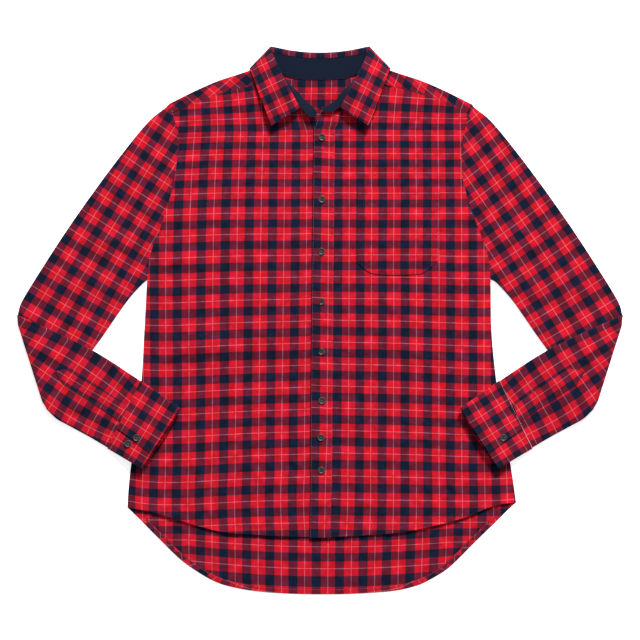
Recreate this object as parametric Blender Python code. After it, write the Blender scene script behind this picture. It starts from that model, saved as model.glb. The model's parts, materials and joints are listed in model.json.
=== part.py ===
"""A long-sleeved check flannel shirt, buttoned and laid flat with its forearms folded back over it.

Sizes are in millimetres, +X to the right of the picture, +Y towards the collar, +Z up from the floor.
"""

import math

import bpy
import bmesh
import numpy as np

MM = 0.001

# Driving dimensions
CLOTH = 1.0  # one layer of brushed flannel
COLLAR_PLY = 1.5  # collar leaf: two layers and an interlining
CUFF_PLY = 1.6
SEAM = 0.3  # gap left between two pieces at a seam
YOKE_GAP = 0.42  # and between the fronts and the yoke, whose curved seam is cut into straight steps
FRONT_LOW = 2.8  # underside of the fronts above the floor
TUBE = FRONT_LOW + CLOTH  # height of a flattened sleeve, level with the fronts
SIDE_DROP = 1.5  # the fronts come down to the back at the side seams
UNDERLAP_DROP = 1.4  # the under front passes this far below the other
UNDERLAP = 28.0
PLACKET_WIDTH = 33.6
WAVE = 0.5  # soft unevenness of the upper cloth
NECK_LIFT = 2.2  # cloth that lies over the back of the collar leaf
YOKE_SEAM_Y = 292.8
HEM_TURN = 10.0
HEM_STRIP_REACH = 284.0
FOREARM_LOW = 4.9  # underside of a forearm where it lies on other cloth
CUFF_LAP_END = 84.0
CUFF_UNDERLAP_END = 58.0
GAUNTLET_GAP = 0.45
ARMHOLE_GAP = 0.45
CUFF_UNDERLAP_MIDDLE = 3.1  # middle of the cuff's under lap and of its upper lap, above its lowest face
CUFF_LAP_MIDDLE = 5.0
CUFF_LAP_RISE = (40.0, 54.0)  # where the upper lap climbs over the under lap
BUTTON_REST = 0.35
BUTTON_RADIUS = 5.75
BUTTON_HEIGHT = 2.2
BUTTON_HOLE_RADIUS = 0.85
BUTTON_HOLE_OFFSET = 1.5
BUTTON_WELL = 0.7

# Columns: y, left x, right x. The right seam starts at the hem's higher corner
SIDE_SEAM = (
    (-299.2, -308.0, 314.6),
    (-291.2, -307.5, 313.8),
    (-272.0, -306.4, 311.2),
    (-240.0, -303.2, 306.4),
    (-176.0, -295.2, 295.2),
    (-97.6, -285.6, 282.4),
    (-16.0, -280.8, 274.4),
    (67.2, -276.0, 272.8),
)
# Columns: y, left x, right x, from the underarm to the shoulder tip
ARMHOLE = (
    (67.2, -276.0, 272.8),
    (110.0, -270.0, 267.3),
    (150.0, -254.5, 252.0),
    (190.0, -241.5, 237.5),
    (225.0, -233.0, 229.0),
    (259.0, -228.3, 226.0),
    (292.8, -225.7, 227.8),
    (331.5, -236.0, 239.5),
    (344.3, -241.5, 243.0),
)
# Columns: x, y
FRONT_HEM = (
    (-308.0, -299.2),
    (-271.2, -307.0),
    (-228.0, -320.8),
    (-184.8, -335.0),
    (-142.4, -343.0),
    (-36.0, -349.3),
    (50.4, -347.2),
    (136.8, -338.6),
    (224.8, -317.4),
    (256.8, -304.6),
    (284.0, -294.6),
    (313.8, -291.2),
)
BACK_HEM = (
    (-308.0, -299.2),
    (-286.4, -320.4),
    (-270.4, -336.6),
    (-254.4, -352.6),
    (-238.4, -368.6),
    (-220.8, -384.8),
    (-198.4, -400.8),
    (-171.2, -416.6),
    (-145.6, -425.6),
    (-105.6, -433.0),
    (-53.6, -437.2),
    (7.2, -438.4),
    (61.6, -437.2),
    (120.0, -432.6),
    (153.6, -424.8),
    (171.2, -417.4),
    (198.4, -401.6),
    (217.6, -385.4),
    (249.6, -353.2),
    (283.2, -320.6),
    (299.2, -304.6),
    (313.8, -291.2),
)
PLACKET_EDGE = (
    (-16.0, -348.6),
    (-15.2, -288.0),
    (-14.2, -112.0),
    (-10.1, 272.0),
    (-8.8, 300.8),
    (-5.6, 316.8),
    (-2.4, 330.0),
    (-0.8, 341.0),
)
# Half of the shirt, for both sides. Columns: x, y
SHOULDER_FOLD = ((243.0, 344.3), (197.0, 367.0), (159.5, 383.0), (120.0, 395.6), (84.0, 409.0))
YOKE_FRONT_SEAM = ((239.5, 331.5), (190.0, 352.5), (145.0, 367.5), (104.0, 377.5), (73.0, 392.0))
FRONT_NECK_RIGHT = ((73.0, 392.0), (48.6, 373.2), (26.4, 349.2), (14.8, 338.0), (6.0, 330.5))
FRONT_NECK_LEFT = ((73.0, 392.0), (48.6, 373.2), (26.4, 349.2), (12.0, 342.5), (0.5, 341.5))
BACK_NECK = ((84.0, 409.0), (64.0, 393.4), (50.0, 388.0), (25.0, 384.9), (0.0, 384.2))
LEAF_BACK_EDGE = ((0.0, 380.0), (36.0, 382.0), (75.0, 388.0), (112.0, 401.0))

# The collar's half from its front end to the middle of the back.
# Columns: neck seam x, y, z; crest of the roll x, y, z; free edge of the leaf x, y, z; roll
COLLAR = (
    (24.8, 350.4, 5.8, 34.4, 337.6, 15.5, 77.6, 310.4, 5.8, 0.4),
    (36.0, 364.8, 6.9, 44.0, 356.0, 18.0, 84.0, 328.0, 5.8, 0.4),
    (47.2, 374.4, 7.3, 52.0, 373.0, 19.0, 90.5, 345.0, 6.0, 0.5),
    (58.4, 385.6, 7.4, 61.0, 392.0, 18.0, 97.0, 362.0, 6.8, 0.6),
    (69.6, 395.2, 7.4, 70.0, 413.0, 14.0, 103.5, 380.0, 7.9, 0.8),
    (76.0, 405.0, 7.2, 76.0, 427.0, 9.8, 109.5, 396.0, 7.9, 1.0),
    (79.2, 412.0, 5.0, 79.6, 436.6, 5.2, 112.5, 402.0, 4.4, 1.4),
    (76.0, 408.0, 2.7, 75.0, 437.4, 2.6, 109.0, 401.0, 0.8, 1.7),
    (50.0, 389.4, 2.7, 50.0, 432.4, 2.5, 75.0, 388.0, 0.75, 1.75),
    (25.0, 386.2, 2.7, 25.0, 429.2, 2.5, 36.0, 382.0, 0.75, 1.75),
    (0.0, 385.5, 2.7, 0.0, 428.3, 2.5, 0.0, 380.0, 0.75, 1.75),
)
# The stand's ends, past the leaf. Columns: neck seam x, y, z; top edge x, y, z
STAND_END_RIGHT = (
    (-5.2, 331.4, 6.2, -7.0, 326.8, 7.2),
    (-13.6, 339.2, 6.0, -20.0, 326.0, 11.0),
)
STAND_END_LEFT = (
    (3.7, 337.8, 6.7, 6.0, 333.2, 7.6),
    (11.5, 342.4, 6.3, 21.0, 332.6, 10.6),
)
ROLL_AT_FRONT = 3.5
ROLL_AT_BACK = 7.0

# Left sleeve, mirrored for the right. Columns: x, y
SLEEVE_OUTER = (
    (-241.5, 344.3),
    (-272.0, 321.0),
    (-312.4, 272.8),
    (-360.4, 208.8),
    (-405.4, 144.6),
    (-447.0, 80.6),
    (-476.6, 30.6),
    (-483.0, 9.0),
)
SLEEVE_INNER = (
    (-276.0, 67.2),
    (-308.0, 32.0),
    (-352.8, -32.0),
    (-399.0, -93.0),
    (-434.5, -141.0),
)
FOREARM_OUTER = ((-483.0, 9.0), (-436.0, -12.8), (-362.4, -48.0), (-303.2, -81.6), (-287.2, -95.0))
FOREARM_INNER = ((-434.5, -141.0), (-419.0, -158.0), (-402.4, -168.2), (-367.2, -187.6), (-340.0, -203.5))
CUFF_OUTER = ((-286.8, -95.6), (-224.8, -137.6))
CUFF_INNER = ((-339.6, -204.4), (-284.0, -235.2))
# The gauntlet on the forearm. Columns: x, y of two places on each long edge, and of its point
GAUNTLET_UPPER_EDGE = ((-386.2, -84.3), (-326.2, -124.3))
GAUNTLET_LOWER_EDGE = ((-409.1, -101.8), (-319.2, -161.0))
GAUNTLET_POINT = (-423.2, -81.6)
GAUNTLET_TIP = 0.02  # half of its blunt point, as a share of the sleeve's width
GAUNTLET_ROWS = 7

# Columns: x, y
POCKET_SIDE_LEFT = ((60.0, 92.8), (60.0, 150.0), (60.4, 211.2))
POCKET_SIDE_RIGHT = ((189.6, 96.0), (190.4, 150.0), (190.7, 211.2))
POCKET_BOTTOM = (
    (60.0, 92.8),
    (81.8, 76.0),
    (119.2, 73.0),
    (155.2, 74.2),
    (167.2, 77.8),
    (189.6, 96.0),
)
# Columns: x, y
FRONT_BUTTONS = (
    (3.2, 292.8),
    (3.2, 193.6),
    (2.4, 110.4),
    (2.4, 30.4),
    (2.4, -49.6),
    (3.2, -128.0),
    (1.6, -187.2),
    (2.4, -239.2),
)
CUFF_BUTTON = (-292.0, -186.6)
CUFF_SPARE_BUTTON = (-306.0, -196.4)
BUTTON_SIDES = 16
HOLE_SIDES = 5

CHECK_COLOUR = (0.33, 0.015, 0.035, 1.0)
NAVY_COLOUR = (0.012, 0.019, 0.042, 1.0)
BUTTON_COLOUR = (0.030, 0.026, 0.028, 1.0)


# Curves and surfaces


def ease(value):
    """0 below 0, 1 above 1, and smooth in between."""
    value = np.clip(value, 0.0, 1.0)
    return value * value * (3.0 - 2.0 * value)


def through(points, steps=12):
    """A smooth dense curve through the points."""
    points = np.asarray(points, float)
    padded = np.vstack([2 * points[0] - points[1], points, 2 * points[-1] - points[-2]])
    out = []
    for i in range(1, len(padded) - 2):
        p0, p1, p2, p3 = padded[i - 1 : i + 3]
        for t in np.arange(steps) / steps:
            out.append(
                0.5
                * (
                    2 * p1
                    + (p2 - p0) * t
                    + (2 * p0 - 5 * p1 + 4 * p2 - p3) * t**2
                    + (3 * p1 - p0 - 3 * p2 + p3) * t**3
                )
            )
    return np.array(out + [points[-1]])


def spread(points, count):
    """The curve as count points at equal distances along it."""
    points = np.asarray(points, float)
    steps = np.linalg.norm(np.diff(points, axis=0), axis=1)
    along = np.concatenate([[0.0], np.cumsum(steps)])
    wanted = np.linspace(0.0, along[-1], count)
    return np.stack([np.interp(wanted, along, column) for column in points.T], axis=1)


def side_x(y, column, table=SIDE_SEAM):
    rows = np.array(table)
    return np.interp(y, rows[:, 0], rows[:, column])


def placket_x(y):
    rows = through(PLACKET_EDGE)
    return np.interp(y, rows[:, 1], rows[:, 0])


def neck_lift(x, y):
    """How far the cloth is raised where it lies over the back of the collar leaf."""
    edge = np.array(LEAF_BACK_EDGE)
    beside = np.maximum(0.0, np.abs(x) - edge[-1, 0])
    below = np.maximum(0.0, np.interp(np.abs(x), edge[:, 0], edge[:, 1]) - y)
    return NECK_LIFT * (1.0 - ease((np.hypot(beside, below) - 10.0) / 25.0))


def wave(x, y):
    return WAVE * 0.5 * (1.0 + np.sin(x / 75.0 + 0.6) * np.sin(y / 110.0 + 0.4))


def front_low(x, y):
    """Underside of the fronts: level with the sleeves, and down to the back at the side seams."""
    inside = np.minimum(x - side_x(y, 1), side_x(y, 2) - x)
    drop = SIDE_DROP * (1.0 - ease(inside / 16.0)) * (1.0 - ease((y - 30.0) / 40.0))
    return FRONT_LOW + neck_lift(x, y) + wave(x, y) * ease(inside / 30.0) - drop


def under_front_low(x, y):
    """The wearer's right front, which passes under the other at the placket."""
    return front_low(x, y) - UNDERLAP_DROP * ease((x - placket_x(y) + 45.0) / 40.0)


def forearm_low(x, y):
    """Underside of a left forearm: over the upper arm and the body, and down to the floor between."""
    along = np.array([-0.601, -0.799])
    past_arm = (x - SLEEVE_INNER[0][0]) * -along[1] + (y - SLEEVE_INNER[0][1]) * along[0]
    past_body = side_x(y, 1) - x
    off_arm = ease((past_arm - 4.0) / 60.0)
    off_body = ease((past_body - 4.0) / 60.0)
    return SEAM + (FOREARM_LOW - SEAM) * (1.0 - off_arm * off_body)


# Solids


def material(name, colour, roughness):
    found = bpy.data.materials.get(name)
    if found:
        return found
    made = bpy.data.materials.new(name)
    made.use_nodes = True
    shader = made.node_tree.nodes["Principled BSDF"]
    shader.inputs["Base Color"].default_value = colour
    shader.inputs["Roughness"].default_value = roughness
    shader.inputs["Metallic"].default_value = 0.0
    return made


def check_cloth():
    return material("check_flannel", CHECK_COLOUR, 0.9)


def navy_cloth():
    return material("navy_twill", NAVY_COLOUR, 0.85)


def button_plastic():
    return material("button_plastic", BUTTON_COLOUR, 0.35)


def add_object(name, mesh, finish):
    mesh.materials.append(finish)
    mesh.shade_smooth()
    mesh.set_sharp_from_angle(angle=math.radians(40.0))
    piece = bpy.data.objects.new(name, mesh)
    bpy.context.scene.collection.objects.link(piece)
    return piece


def sheet(name, low, high, finish, cells=None, closed=False):
    """One closed solid between two grids of points. cells masks grid cells, closed joins the rows."""
    rows, columns = low.shape[:2]
    joined = columns if closed else columns - 1
    if cells is None:
        cells = np.ones((rows - 1, joined), bool)
    low_points, high_points, faces = {}, {}, []
    build = bmesh.new()

    def corner(i, j, points, grid):
        key = (i, j % columns)
        if key not in points:
            points[key] = build.verts.new(grid[key] * MM)
        return points[key]

    edges = {}
    for i in range(rows - 1):
        for j in range(joined):
            if not cells[i, j]:
                continue
            loop = ((i, j), (i, j + 1), (i + 1, j + 1), (i + 1, j))
            faces.append([corner(*key, high_points, high) for key in loop])
            faces.append([corner(*key, low_points, low) for key in reversed(loop)])
            for a, b in zip(loop, loop[1:] + loop[:1]):
                ends = ((a[0], a[1] % columns), (b[0], b[1] % columns))
                edges[frozenset(ends)] = None if frozenset(ends) in edges else ends
    for ends in filter(None, edges.values()):
        a, b = ends
        faces.append([high_points[b], high_points[a], low_points[a], low_points[b]])
    for face in faces:
        build.faces.new(face)
    bmesh.ops.recalc_face_normals(build, faces=build.faces)
    bmesh.ops.triangulate(build, faces=build.faces)
    mesh = bpy.data.meshes.new(name)
    build.to_mesh(mesh)
    build.free()
    return add_object(name, mesh, finish)


def flat_sheet(name, plan, low, finish=None, thickness=CLOTH):
    """A sheet over plan points, whose underside follows low(x, y)."""
    bottom = np.dstack([plan, low(plan[..., 0], plan[..., 1])])
    return sheet(name, bottom, bottom + [0.0, 0.0, thickness], finish or check_cloth())


def normals_of(grid):
    along = np.gradient(grid, axis=0)
    across = np.gradient(grid, axis=1)
    normal = np.cross(along, across)
    return normal / np.linalg.norm(normal, axis=2, keepdims=True)


def patch(bottom, top, left, right):
    """Plan points between four edge curves: left and right run from bottom to top."""
    u = np.linspace(0.0, 1.0, len(bottom))[None, :, None]
    v = np.linspace(0.0, 1.0, len(left))[:, None, None]
    between = (1 - v) * bottom[None] + v * top[None] + (1 - u) * left[:, None] + u * right[:, None]
    corners = (1 - u) * (1 - v) * bottom[0] + u * (1 - v) * bottom[-1]
    corners = corners + (1 - u) * v * top[0] + u * v * top[-1]
    return between - corners


# The body


SIDE_ROWS = 8


def panel_side(column, last):
    """Edge points of a panel: up the side seam, then through the armhole's own points."""
    seam = np.array(SIDE_SEAM)
    levels = np.linspace(seam[0, 0], seam[-1, 0], SIDE_ROWS)
    levels[0] = max(levels[0], FRONT_HEM[-1][1]) if column == 2 else levels[0]
    lower = np.stack([side_x(levels, column), levels], axis=1)
    upper = np.array([(row[column], row[0]) for row in ARMHOLE[1:last]])
    return np.vstack([lower, upper])


def part_of_hem(hem, start, end):
    dense = through(hem)
    inside = dense[(dense[:, 0] > start + 1.0) & (dense[:, 0] < end - 1.0)]
    at = np.interp([start, end], dense[:, 0], dense[:, 1])
    return np.vstack([[start, at[0]], inside, [end, at[1]]])


def front_panel(name, column, sign, centre_edge, low):
    """One front. sign is -1 for the side at the picture's left."""
    outer = panel_side(column, 8)
    neck = np.array(FRONT_NECK_RIGHT if sign < 0 else FRONT_NECK_LEFT) * [sign, 1.0]
    seam = np.array(YOKE_FRONT_SEAM) * [sign, 1.0]
    seam[0] = outer[-1]
    seam[:, 1] -= YOKE_GAP
    outer[-1, 1] -= YOKE_GAP
    join = np.vstack([centre_edge, through(neck[::-1])[1:]])
    inner = spread(join, len(outer))
    inner[-1] = seam[-1]
    hem = part_of_hem(FRONT_HEM, *sorted((outer[0, 0], inner[0, 0])))
    if sign > 0:
        hem = hem[::-1]
    hem[0], hem[-1] = outer[0], inner[0]
    columns = 9
    plan = patch(spread(hem, columns), spread(through(seam), columns), outer, inner)
    flat_sheet(name, plan, low)


def fronts():
    edge = through(PLACKET_EDGE)
    lap_edge = edge[edge[:, 1] < 318.0] + [UNDERLAP, 0.0]
    lap_edge[0, 1] = np.interp(lap_edge[0, 0], *through(FRONT_HEM).T)
    under = np.vstack([lap_edge, [14.0, 322.0], [-5.0, 331.5]])
    over = edge.copy()
    over[0, 1] = np.interp(over[0, 0], *through(FRONT_HEM).T)
    front_panel("front_right", 1, -1.0, under, under_front_low)
    front_panel("front_left", 2, 1.0, over, front_low)


def over_front(x, y):
    return front_low(x, y) + CLOTH + SEAM


def placket():
    edge = through(PLACKET_EDGE)
    levels = np.linspace(-347.0, 334.0, 25)
    left = np.interp(levels, edge[:, 1], edge[:, 0])
    shares = np.linspace(0.0, 1.0, 3)
    plan = np.array([[(x + PLACKET_WIDTH * s, y) for s in shares] for x, y in zip(left, levels)])
    flat_sheet("placket_band", plan, over_front)


def pocket():
    rows, columns = 7, 8
    left = spread(np.array(POCKET_SIDE_LEFT), rows)
    right = spread(np.array(POCKET_SIDE_RIGHT), rows)
    bottom = spread(through(POCKET_BOTTOM), columns)
    top = spread(np.array([left[-1], right[-1]]), columns)
    flat_sheet("chest_pocket", patch(bottom, top, left, right), over_front)


def floor_level(x, y):
    return np.zeros_like(x)


def back_panel():
    columns = 15
    left, right = panel_side(1, 7), panel_side(2, 7)
    left[-1, 1] -= SEAM
    right[-1, 1] -= SEAM
    top = spread(np.array([left[-1], right[-1]]), columns)
    plan = patch(spread(through(BACK_HEM), columns), top, left, right)
    flat_sheet("back", plan, floor_level)


def hem_strip(name, edge, low):
    """The turned-in hem: a strip along an edge's inner side."""
    edge = spread(edge, 22)
    along = np.gradient(edge, axis=0)
    inward = np.stack([-along[:, 1], along[:, 0]], axis=1)
    inward /= np.linalg.norm(inward, axis=1, keepdims=True)
    plan = np.stack([edge + inward * 0.8, edge + inward * HEM_TURN], axis=1)
    flat_sheet(name, plan, low)


def hems():
    edge = through(BACK_HEM)
    edge = edge[np.abs(edge[:, 0]) < HEM_STRIP_REACH]
    hem_strip("hem_back", edge, lambda x, y: floor_level(x, y) + CLOTH + SEAM)


def yoke():
    """The yoke lies on the floor behind, folds over the shoulders and ends at the front seams."""
    shoulder, middle = 8, 8  # columns over one shoulder, and across the neck
    fold = spread(through(SHOULDER_FOLD), shoulder)
    seam = spread(through(YOKE_FRONT_SEAM), shoulder)
    neck = spread(through(BACK_NECK + tuple((-x, y) for x, y in BACK_NECK[-2::-1])), middle + 1)
    mirror = np.array([-1.0, 1.0])
    upper = np.vstack([fold[:-1] * mirror, neck * mirror, fold[-2::-1]])
    count = len(upper)
    back_x = np.interp(np.arange(count), [0, shoulder - 1, count - shoulder, count - 1],
                       [ARMHOLE[6][1], -90.0, 90.0, ARMHOLE[6][2]])
    back = np.stack([back_x, np.full(count, YOKE_SEAM_Y)], axis=1)
    tips = np.array([(ARMHOLE[7][1], ARMHOLE[7][0]), (ARMHOLE[7][2], ARMHOLE[7][0])])
    upper[0], upper[-1] = (ARMHOLE[8][1], ARMHOLE[8][0]), (ARMHOLE[8][2], ARMHOLE[8][0])
    shares = (0.0, 0.3, 0.55, 0.76, 0.9, 1.0)
    flat = np.array([[b + (u - b) * s for b, u in zip(back, upper)] for s in shares])
    for edge, column in ((0, 1), (-1, 2)):
        flat[3, edge, 1] = tips[edge, 1]
        flat[:, edge, 0] = side_x(flat[:, edge, 1], column, ARMHOLE)
    bends = np.radians([35.0, 75.0, 105.0, 145.0])
    fronts_rows = (0.0, 0.5, 1.0)
    total = len(shares) + len(bends) + len(fronts_rows)
    low = np.zeros((total, count, 3))
    high = np.zeros((total, count, 3))
    for k in range(count):
        side = -1.0 if k < count / 2 else 1.0
        place = min(k, count - 1 - k)
        on_shoulder = place < shoulder
        end = seam[min(place, shoulder - 1)] * [side, 1.0]
        if place == 0:
            end = tips[0 if side < 0 else 1]
        near, far = upper[max(k - 1, 0)], upper[min(k + 1, count - 1)]
        if place == shoulder - 1:
            near, far = (near, upper[k]) if side < 0 else (upper[k], far)
        outward = np.array([-(far - near)[1], (far - near)[0]])
        outward /= np.linalg.norm(outward)
        for grid, height in ((low, 0.0), (high, CLOTH)):
            lift = neck_lift(flat[:, k, 0], flat[:, k, 1])
            grid[: len(shares), k] = np.column_stack([flat[:, k], lift + height])
            if not on_shoulder:
                continue
            top = upper[k]
            radius = TUBE / 2 - height
            for row, angle in enumerate(bends, len(shares)):
                plan = top + outward * radius * math.sin(angle)
                level = lift[-1] + TUBE / 2 - radius * math.cos(angle)
                grid[row, k] = (*plan, level)
            for row, share in enumerate(fronts_rows, len(shares) + len(bends)):
                plan = top + (end - top) * share
                grid[row, k] = (*plan, neck_lift(*plan) + TUBE - height)
    cells = np.ones((total - 1, count - 1), bool)
    cells[len(shares) - 1 :, shoulder - 1 : count - shoulder] = False
    sheet("yoke", low, high, check_cloth(), cells=cells)


# The collar


def collar_curves():
    half = np.array(COLLAR, float)
    rows = np.vstack([half, half[-2::-1]])
    signs = np.ones(len(rows))
    signs[: len(half)] = -1.0
    signs[len(half) - 1] = 0.0
    for column in (0, 3, 6):
        rows[:, column] *= signs
    dense = through(rows, steps=2)
    return dense[:, 0:3], dense[:, 3:6], dense[:, 6:9], dense[:, 9:10]


def toward(start, end, distance):
    way = end - start
    return start + way / np.linalg.norm(way, axis=1, keepdims=True) * distance


def roll_share(roll):
    """0 where the leaf falls outward at the front, 1 where it is folded flat behind the neck."""
    return ease((roll - 1.0) / 0.7)


def collar_leaf():
    neck, crest, edge, roll = collar_curves()
    reach = ROLL_AT_FRONT + (ROLL_AT_BACK - ROLL_AT_FRONT) * roll_share(roll)
    start = toward(crest, neck, reach)
    start[:, 2:] = start[:, 2:] * (1 - roll_share(roll)) + (crest[:, 2:] + roll) * roll_share(roll)
    shoulder_in = toward(crest, neck, reach * 0.35) + [0.0, 0.0, 0.75] * roll
    after = toward(crest, edge, 3.0)
    after[:, 2:] = after[:, 2:] * (1 - roll_share(roll)) + (crest[:, 2:] - roll) * roll_share(roll)
    middle = (after + edge) / 2
    grid = np.stack([start, shoulder_in, crest, after, middle, edge], axis=1)
    half = normals_of(grid) * COLLAR_PLY / 2
    faces = [grid - half, grid + half]
    for face in faces:
        face[..., 2] = np.maximum(face[..., 2], 0.0)
    sheet("collar_leaf", *faces, check_cloth())


def stand_grid():
    neck, crest, _, roll = collar_curves()
    reach = ROLL_AT_FRONT + (ROLL_AT_BACK - ROLL_AT_FRONT) * roll_share(roll) + 0.5
    top = toward(crest, neck, reach)
    flat = roll_share(roll)
    top[:, 2:] = top[:, 2:] * (1 - flat) + neck[:, 2:] * flat
    first, last = np.array(STAND_END_RIGHT), np.array(STAND_END_LEFT)[::-1]
    neck = np.vstack([first[:, :3], neck, last[:, :3]])
    top = np.vstack([first[:, 3:], top, last[:, 3:]])
    return np.stack([neck, (neck + top) / 2, top], axis=1)


def collar_stand():
    grid = stand_grid()
    normal = normals_of(grid)
    inward = normal * np.sign(normal[len(normal) // 2, 1, 2])
    half = inward * CLOTH / 2
    sheet("collar_stand", grid - half, grid + half, check_cloth())
    inner = grid + inward * (CLOTH + SEAM)
    sheet("collar_stand_lining", inner - half, inner + half, navy_cloth())


# Sleeves and cuffs


def unit(vector):
    return vector / np.linalg.norm(vector)


def sleeve_ring(out_end, in_end, shares, bow, inset):
    """Plan points across one section, and the way out past its first and last point."""
    across = unit(in_end - out_end)
    first = out_end + across * inset
    last = in_end - across * inset
    line = first + (last - first) * shares[:, None] + bow
    return line, -across, across


def sleeve_sections(armhole):
    """Rows of (plan points, way out at each end, placing) from the armhole to the cuff."""
    steps = np.linalg.norm(np.diff(armhole, axis=0), axis=1)
    shares = np.concatenate([[0.0], np.cumsum(steps)]) / steps.sum()
    chord = armhole[0] + (armhole[-1] - armhole[0]) * shares[:, None]
    bow = armhole - chord
    upper, lower, bend = 9, 9, np.radians([36.0, 72.0, 108.0, 144.0])
    outer = spread(through(SLEEVE_OUTER), upper)
    inner = spread(through(SLEEVE_INNER), upper)
    fold_height = (FOREARM_LOW + TUBE) / 2
    sections = []
    start = armhole - [ARMHOLE_GAP, 0.0]
    ends = unit(start[0] - start[1]), unit(start[-1] - start[-2])
    sections.append((start, *ends, "floor"))
    for j in range(1, upper):
        fade = max(0.0, 1.0 - j / (upper * 0.7)) ** 1.5
        sections.append((*sleeve_ring(outer[j], inner[j], shares, bow * fade, TUBE / 2), "floor"))
    crease = sections[-1][:3]
    outward = np.array([crease[2][1], -crease[2][0]])
    for angle in bend:
        sections.append((*crease, (outward, fold_height, angle)))
    forearm_out = spread(through(FOREARM_OUTER), lower)
    forearm_in = spread(through(FOREARM_INNER), lower)
    sections.append((*crease, (outward, fold_height, math.pi)))
    for j in range(1, lower):
        ring = sleeve_ring(forearm_out[j], forearm_in[j], shares, 0.0, TUBE / 2)
        sections.append((*ring, "forearm"))
    return sections


def place_ring(section, wall):
    """3-D points round one section: along the underside, round the far edge and back over the top."""
    line, near, far, placing = section
    radius = TUBE / 2 - wall
    ring = [(*point, wall) for point in line]
    for angle in np.radians([-45.0, 0.0, 45.0]):
        point = line[-1] + far * radius * math.cos(angle)
        ring.append((*point, TUBE / 2 + radius * math.sin(angle)))
    ring += [(*point, TUBE - wall) for point in line[::-1]]
    for angle in np.radians([45.0, 0.0, -45.0]):
        point = line[0] + near * radius * math.cos(angle)
        ring.append((*point, TUBE / 2 + radius * math.sin(angle)))
    ring = np.array(ring)
    if placing == "forearm":
        ring[:, 2] = forearm_low(ring[:, 0], ring[:, 1]) + TUBE - ring[:, 2]
    elif placing != "floor":
        outward, axis, angle = placing
        above = axis - ring[:, 2]
        ring[:, :2] += outward * (above * math.sin(angle))[:, None]
        ring[:, 2] = axis - above * math.cos(angle)
    return ring


def sleeve(name, column, sign):
    armhole = np.array([(row[column] * -sign, row[0]) for row in ARMHOLE[::-1]])
    sections = sleeve_sections(armhole)
    outside = np.array([place_ring(section, 0.0) for section in sections])
    inside = np.array([place_ring(section, CLOTH) for section in sections])
    flip = np.array([-sign, 1.0, 1.0])
    sheet(f"sleeve_{name}", inside * flip, outside * flip, check_cloth(), closed=True)
    gauntlet(name, sections, sign)


def crossing(line, edge):
    """How far along a section's line the straight edge crosses it, as a share."""
    normal = np.array([edge[1][1] - edge[0][1], edge[0][0] - edge[1][0]])
    before, after = (line[0] - edge[0]) @ normal, (line[-1] - edge[0]) @ normal
    return before / (before - after)


def gauntlet(name, sections, sign):
    """The sleeve placket, on the forearm's upper side, from its point to the cuff."""
    rows = []
    for place, section in enumerate(sections[-GAUNTLET_ROWS:]):
        top = place_ring(section, 0.0)[: len(section[0])]
        along = np.linspace(0.0, 1.0, len(top))
        low, high = crossing(section[0], GAUNTLET_UPPER_EDGE), crossing(section[0], GAUNTLET_LOWER_EDGE)
        if place == 0:
            tip = (GAUNTLET_POINT[1] - section[0][0][1]) / (section[0][-1][1] - section[0][0][1])
            low, high = tip - GAUNTLET_TIP, tip + GAUNTLET_TIP
        width = [low, (low + high) / 2, high]
        rows.append([[np.interp(w, along, column) for column in top.T] for w in width])
    grid = np.array(rows) * [-sign, 1.0, 1.0] + [0.0, 0.0, GAUNTLET_GAP]
    sheet(f"gauntlet_{name}", grid, grid + [0.0, 0.0, CLOTH], check_cloth())


def cuff_path(width):
    """The wrapped cuff in section: under lap, far edge, underside, near edge and upper lap."""
    under, upper, base = CUFF_UNDERLAP_MIDDLE, CUFF_LAP_MIDDLE, CUFF_PLY / 2
    radius = (under - base) / 2
    middle = (under + base) / 2
    path = [(w, under) for w in np.linspace(CUFF_UNDERLAP_END, width - radius, 4)]
    path += [(width - radius + radius * math.cos(a), middle + radius * math.sin(a))
             for a in np.radians([45.0, 0.0, -45.0])]
    path += [(w, base) for w in np.linspace(width - radius, radius, 6)]
    path += [(radius - radius * math.cos(a), middle + radius * math.sin(a))
             for a in np.radians([-45.0, 0.0, 45.0])]
    rise, risen = CUFF_LAP_RISE
    for w in (radius, rise / 2, rise, (rise + risen) / 2, risen, (risen + CUFF_LAP_END) / 2, CUFF_LAP_END):
        path.append((w, under + (upper - under) * ease((w - rise) / (risen - rise))))
    return np.array(path)


def cuff_point(across, along):
    """Plan point on a left cuff, across its width in mm and along its length as a share."""
    out_end = np.array(CUFF_OUTER[0]) * (1 - along) + np.array(CUFF_OUTER[1]) * along
    in_end = np.array(CUFF_INNER[0]) * (1 - along) + np.array(CUFF_INNER[1]) * along
    way = (in_end - out_end) / np.linalg.norm(in_end - out_end)
    return out_end + way * across


def cuff_width(along):
    ends = np.array(CUFF_OUTER) - np.array(CUFF_INNER)
    return np.linalg.norm(ends[0] * (1 - along) + ends[1] * along)


def cuff(name, sign):
    low, high = [], []
    for along in np.linspace(0.0, 1.0, 5):
        path = cuff_path(cuff_width(along))
        tangent = np.gradient(path, axis=0)
        tangent /= np.linalg.norm(tangent, axis=1, keepdims=True)
        normal = np.stack([-tangent[:, 1], tangent[:, 0]], axis=1)
        for rows, offset in ((low, -CUFF_PLY / 2), (high, CUFF_PLY / 2)):
            ring = []
            for w, level in path + normal * offset:
                x, y = cuff_point(w, along)
                ring.append((x * -sign, y, forearm_low(x, y) + level))
            rows.append(ring)
    sheet(f"cuff_{name}", np.array(low), np.array(high), check_cloth())


# Buttons


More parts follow.
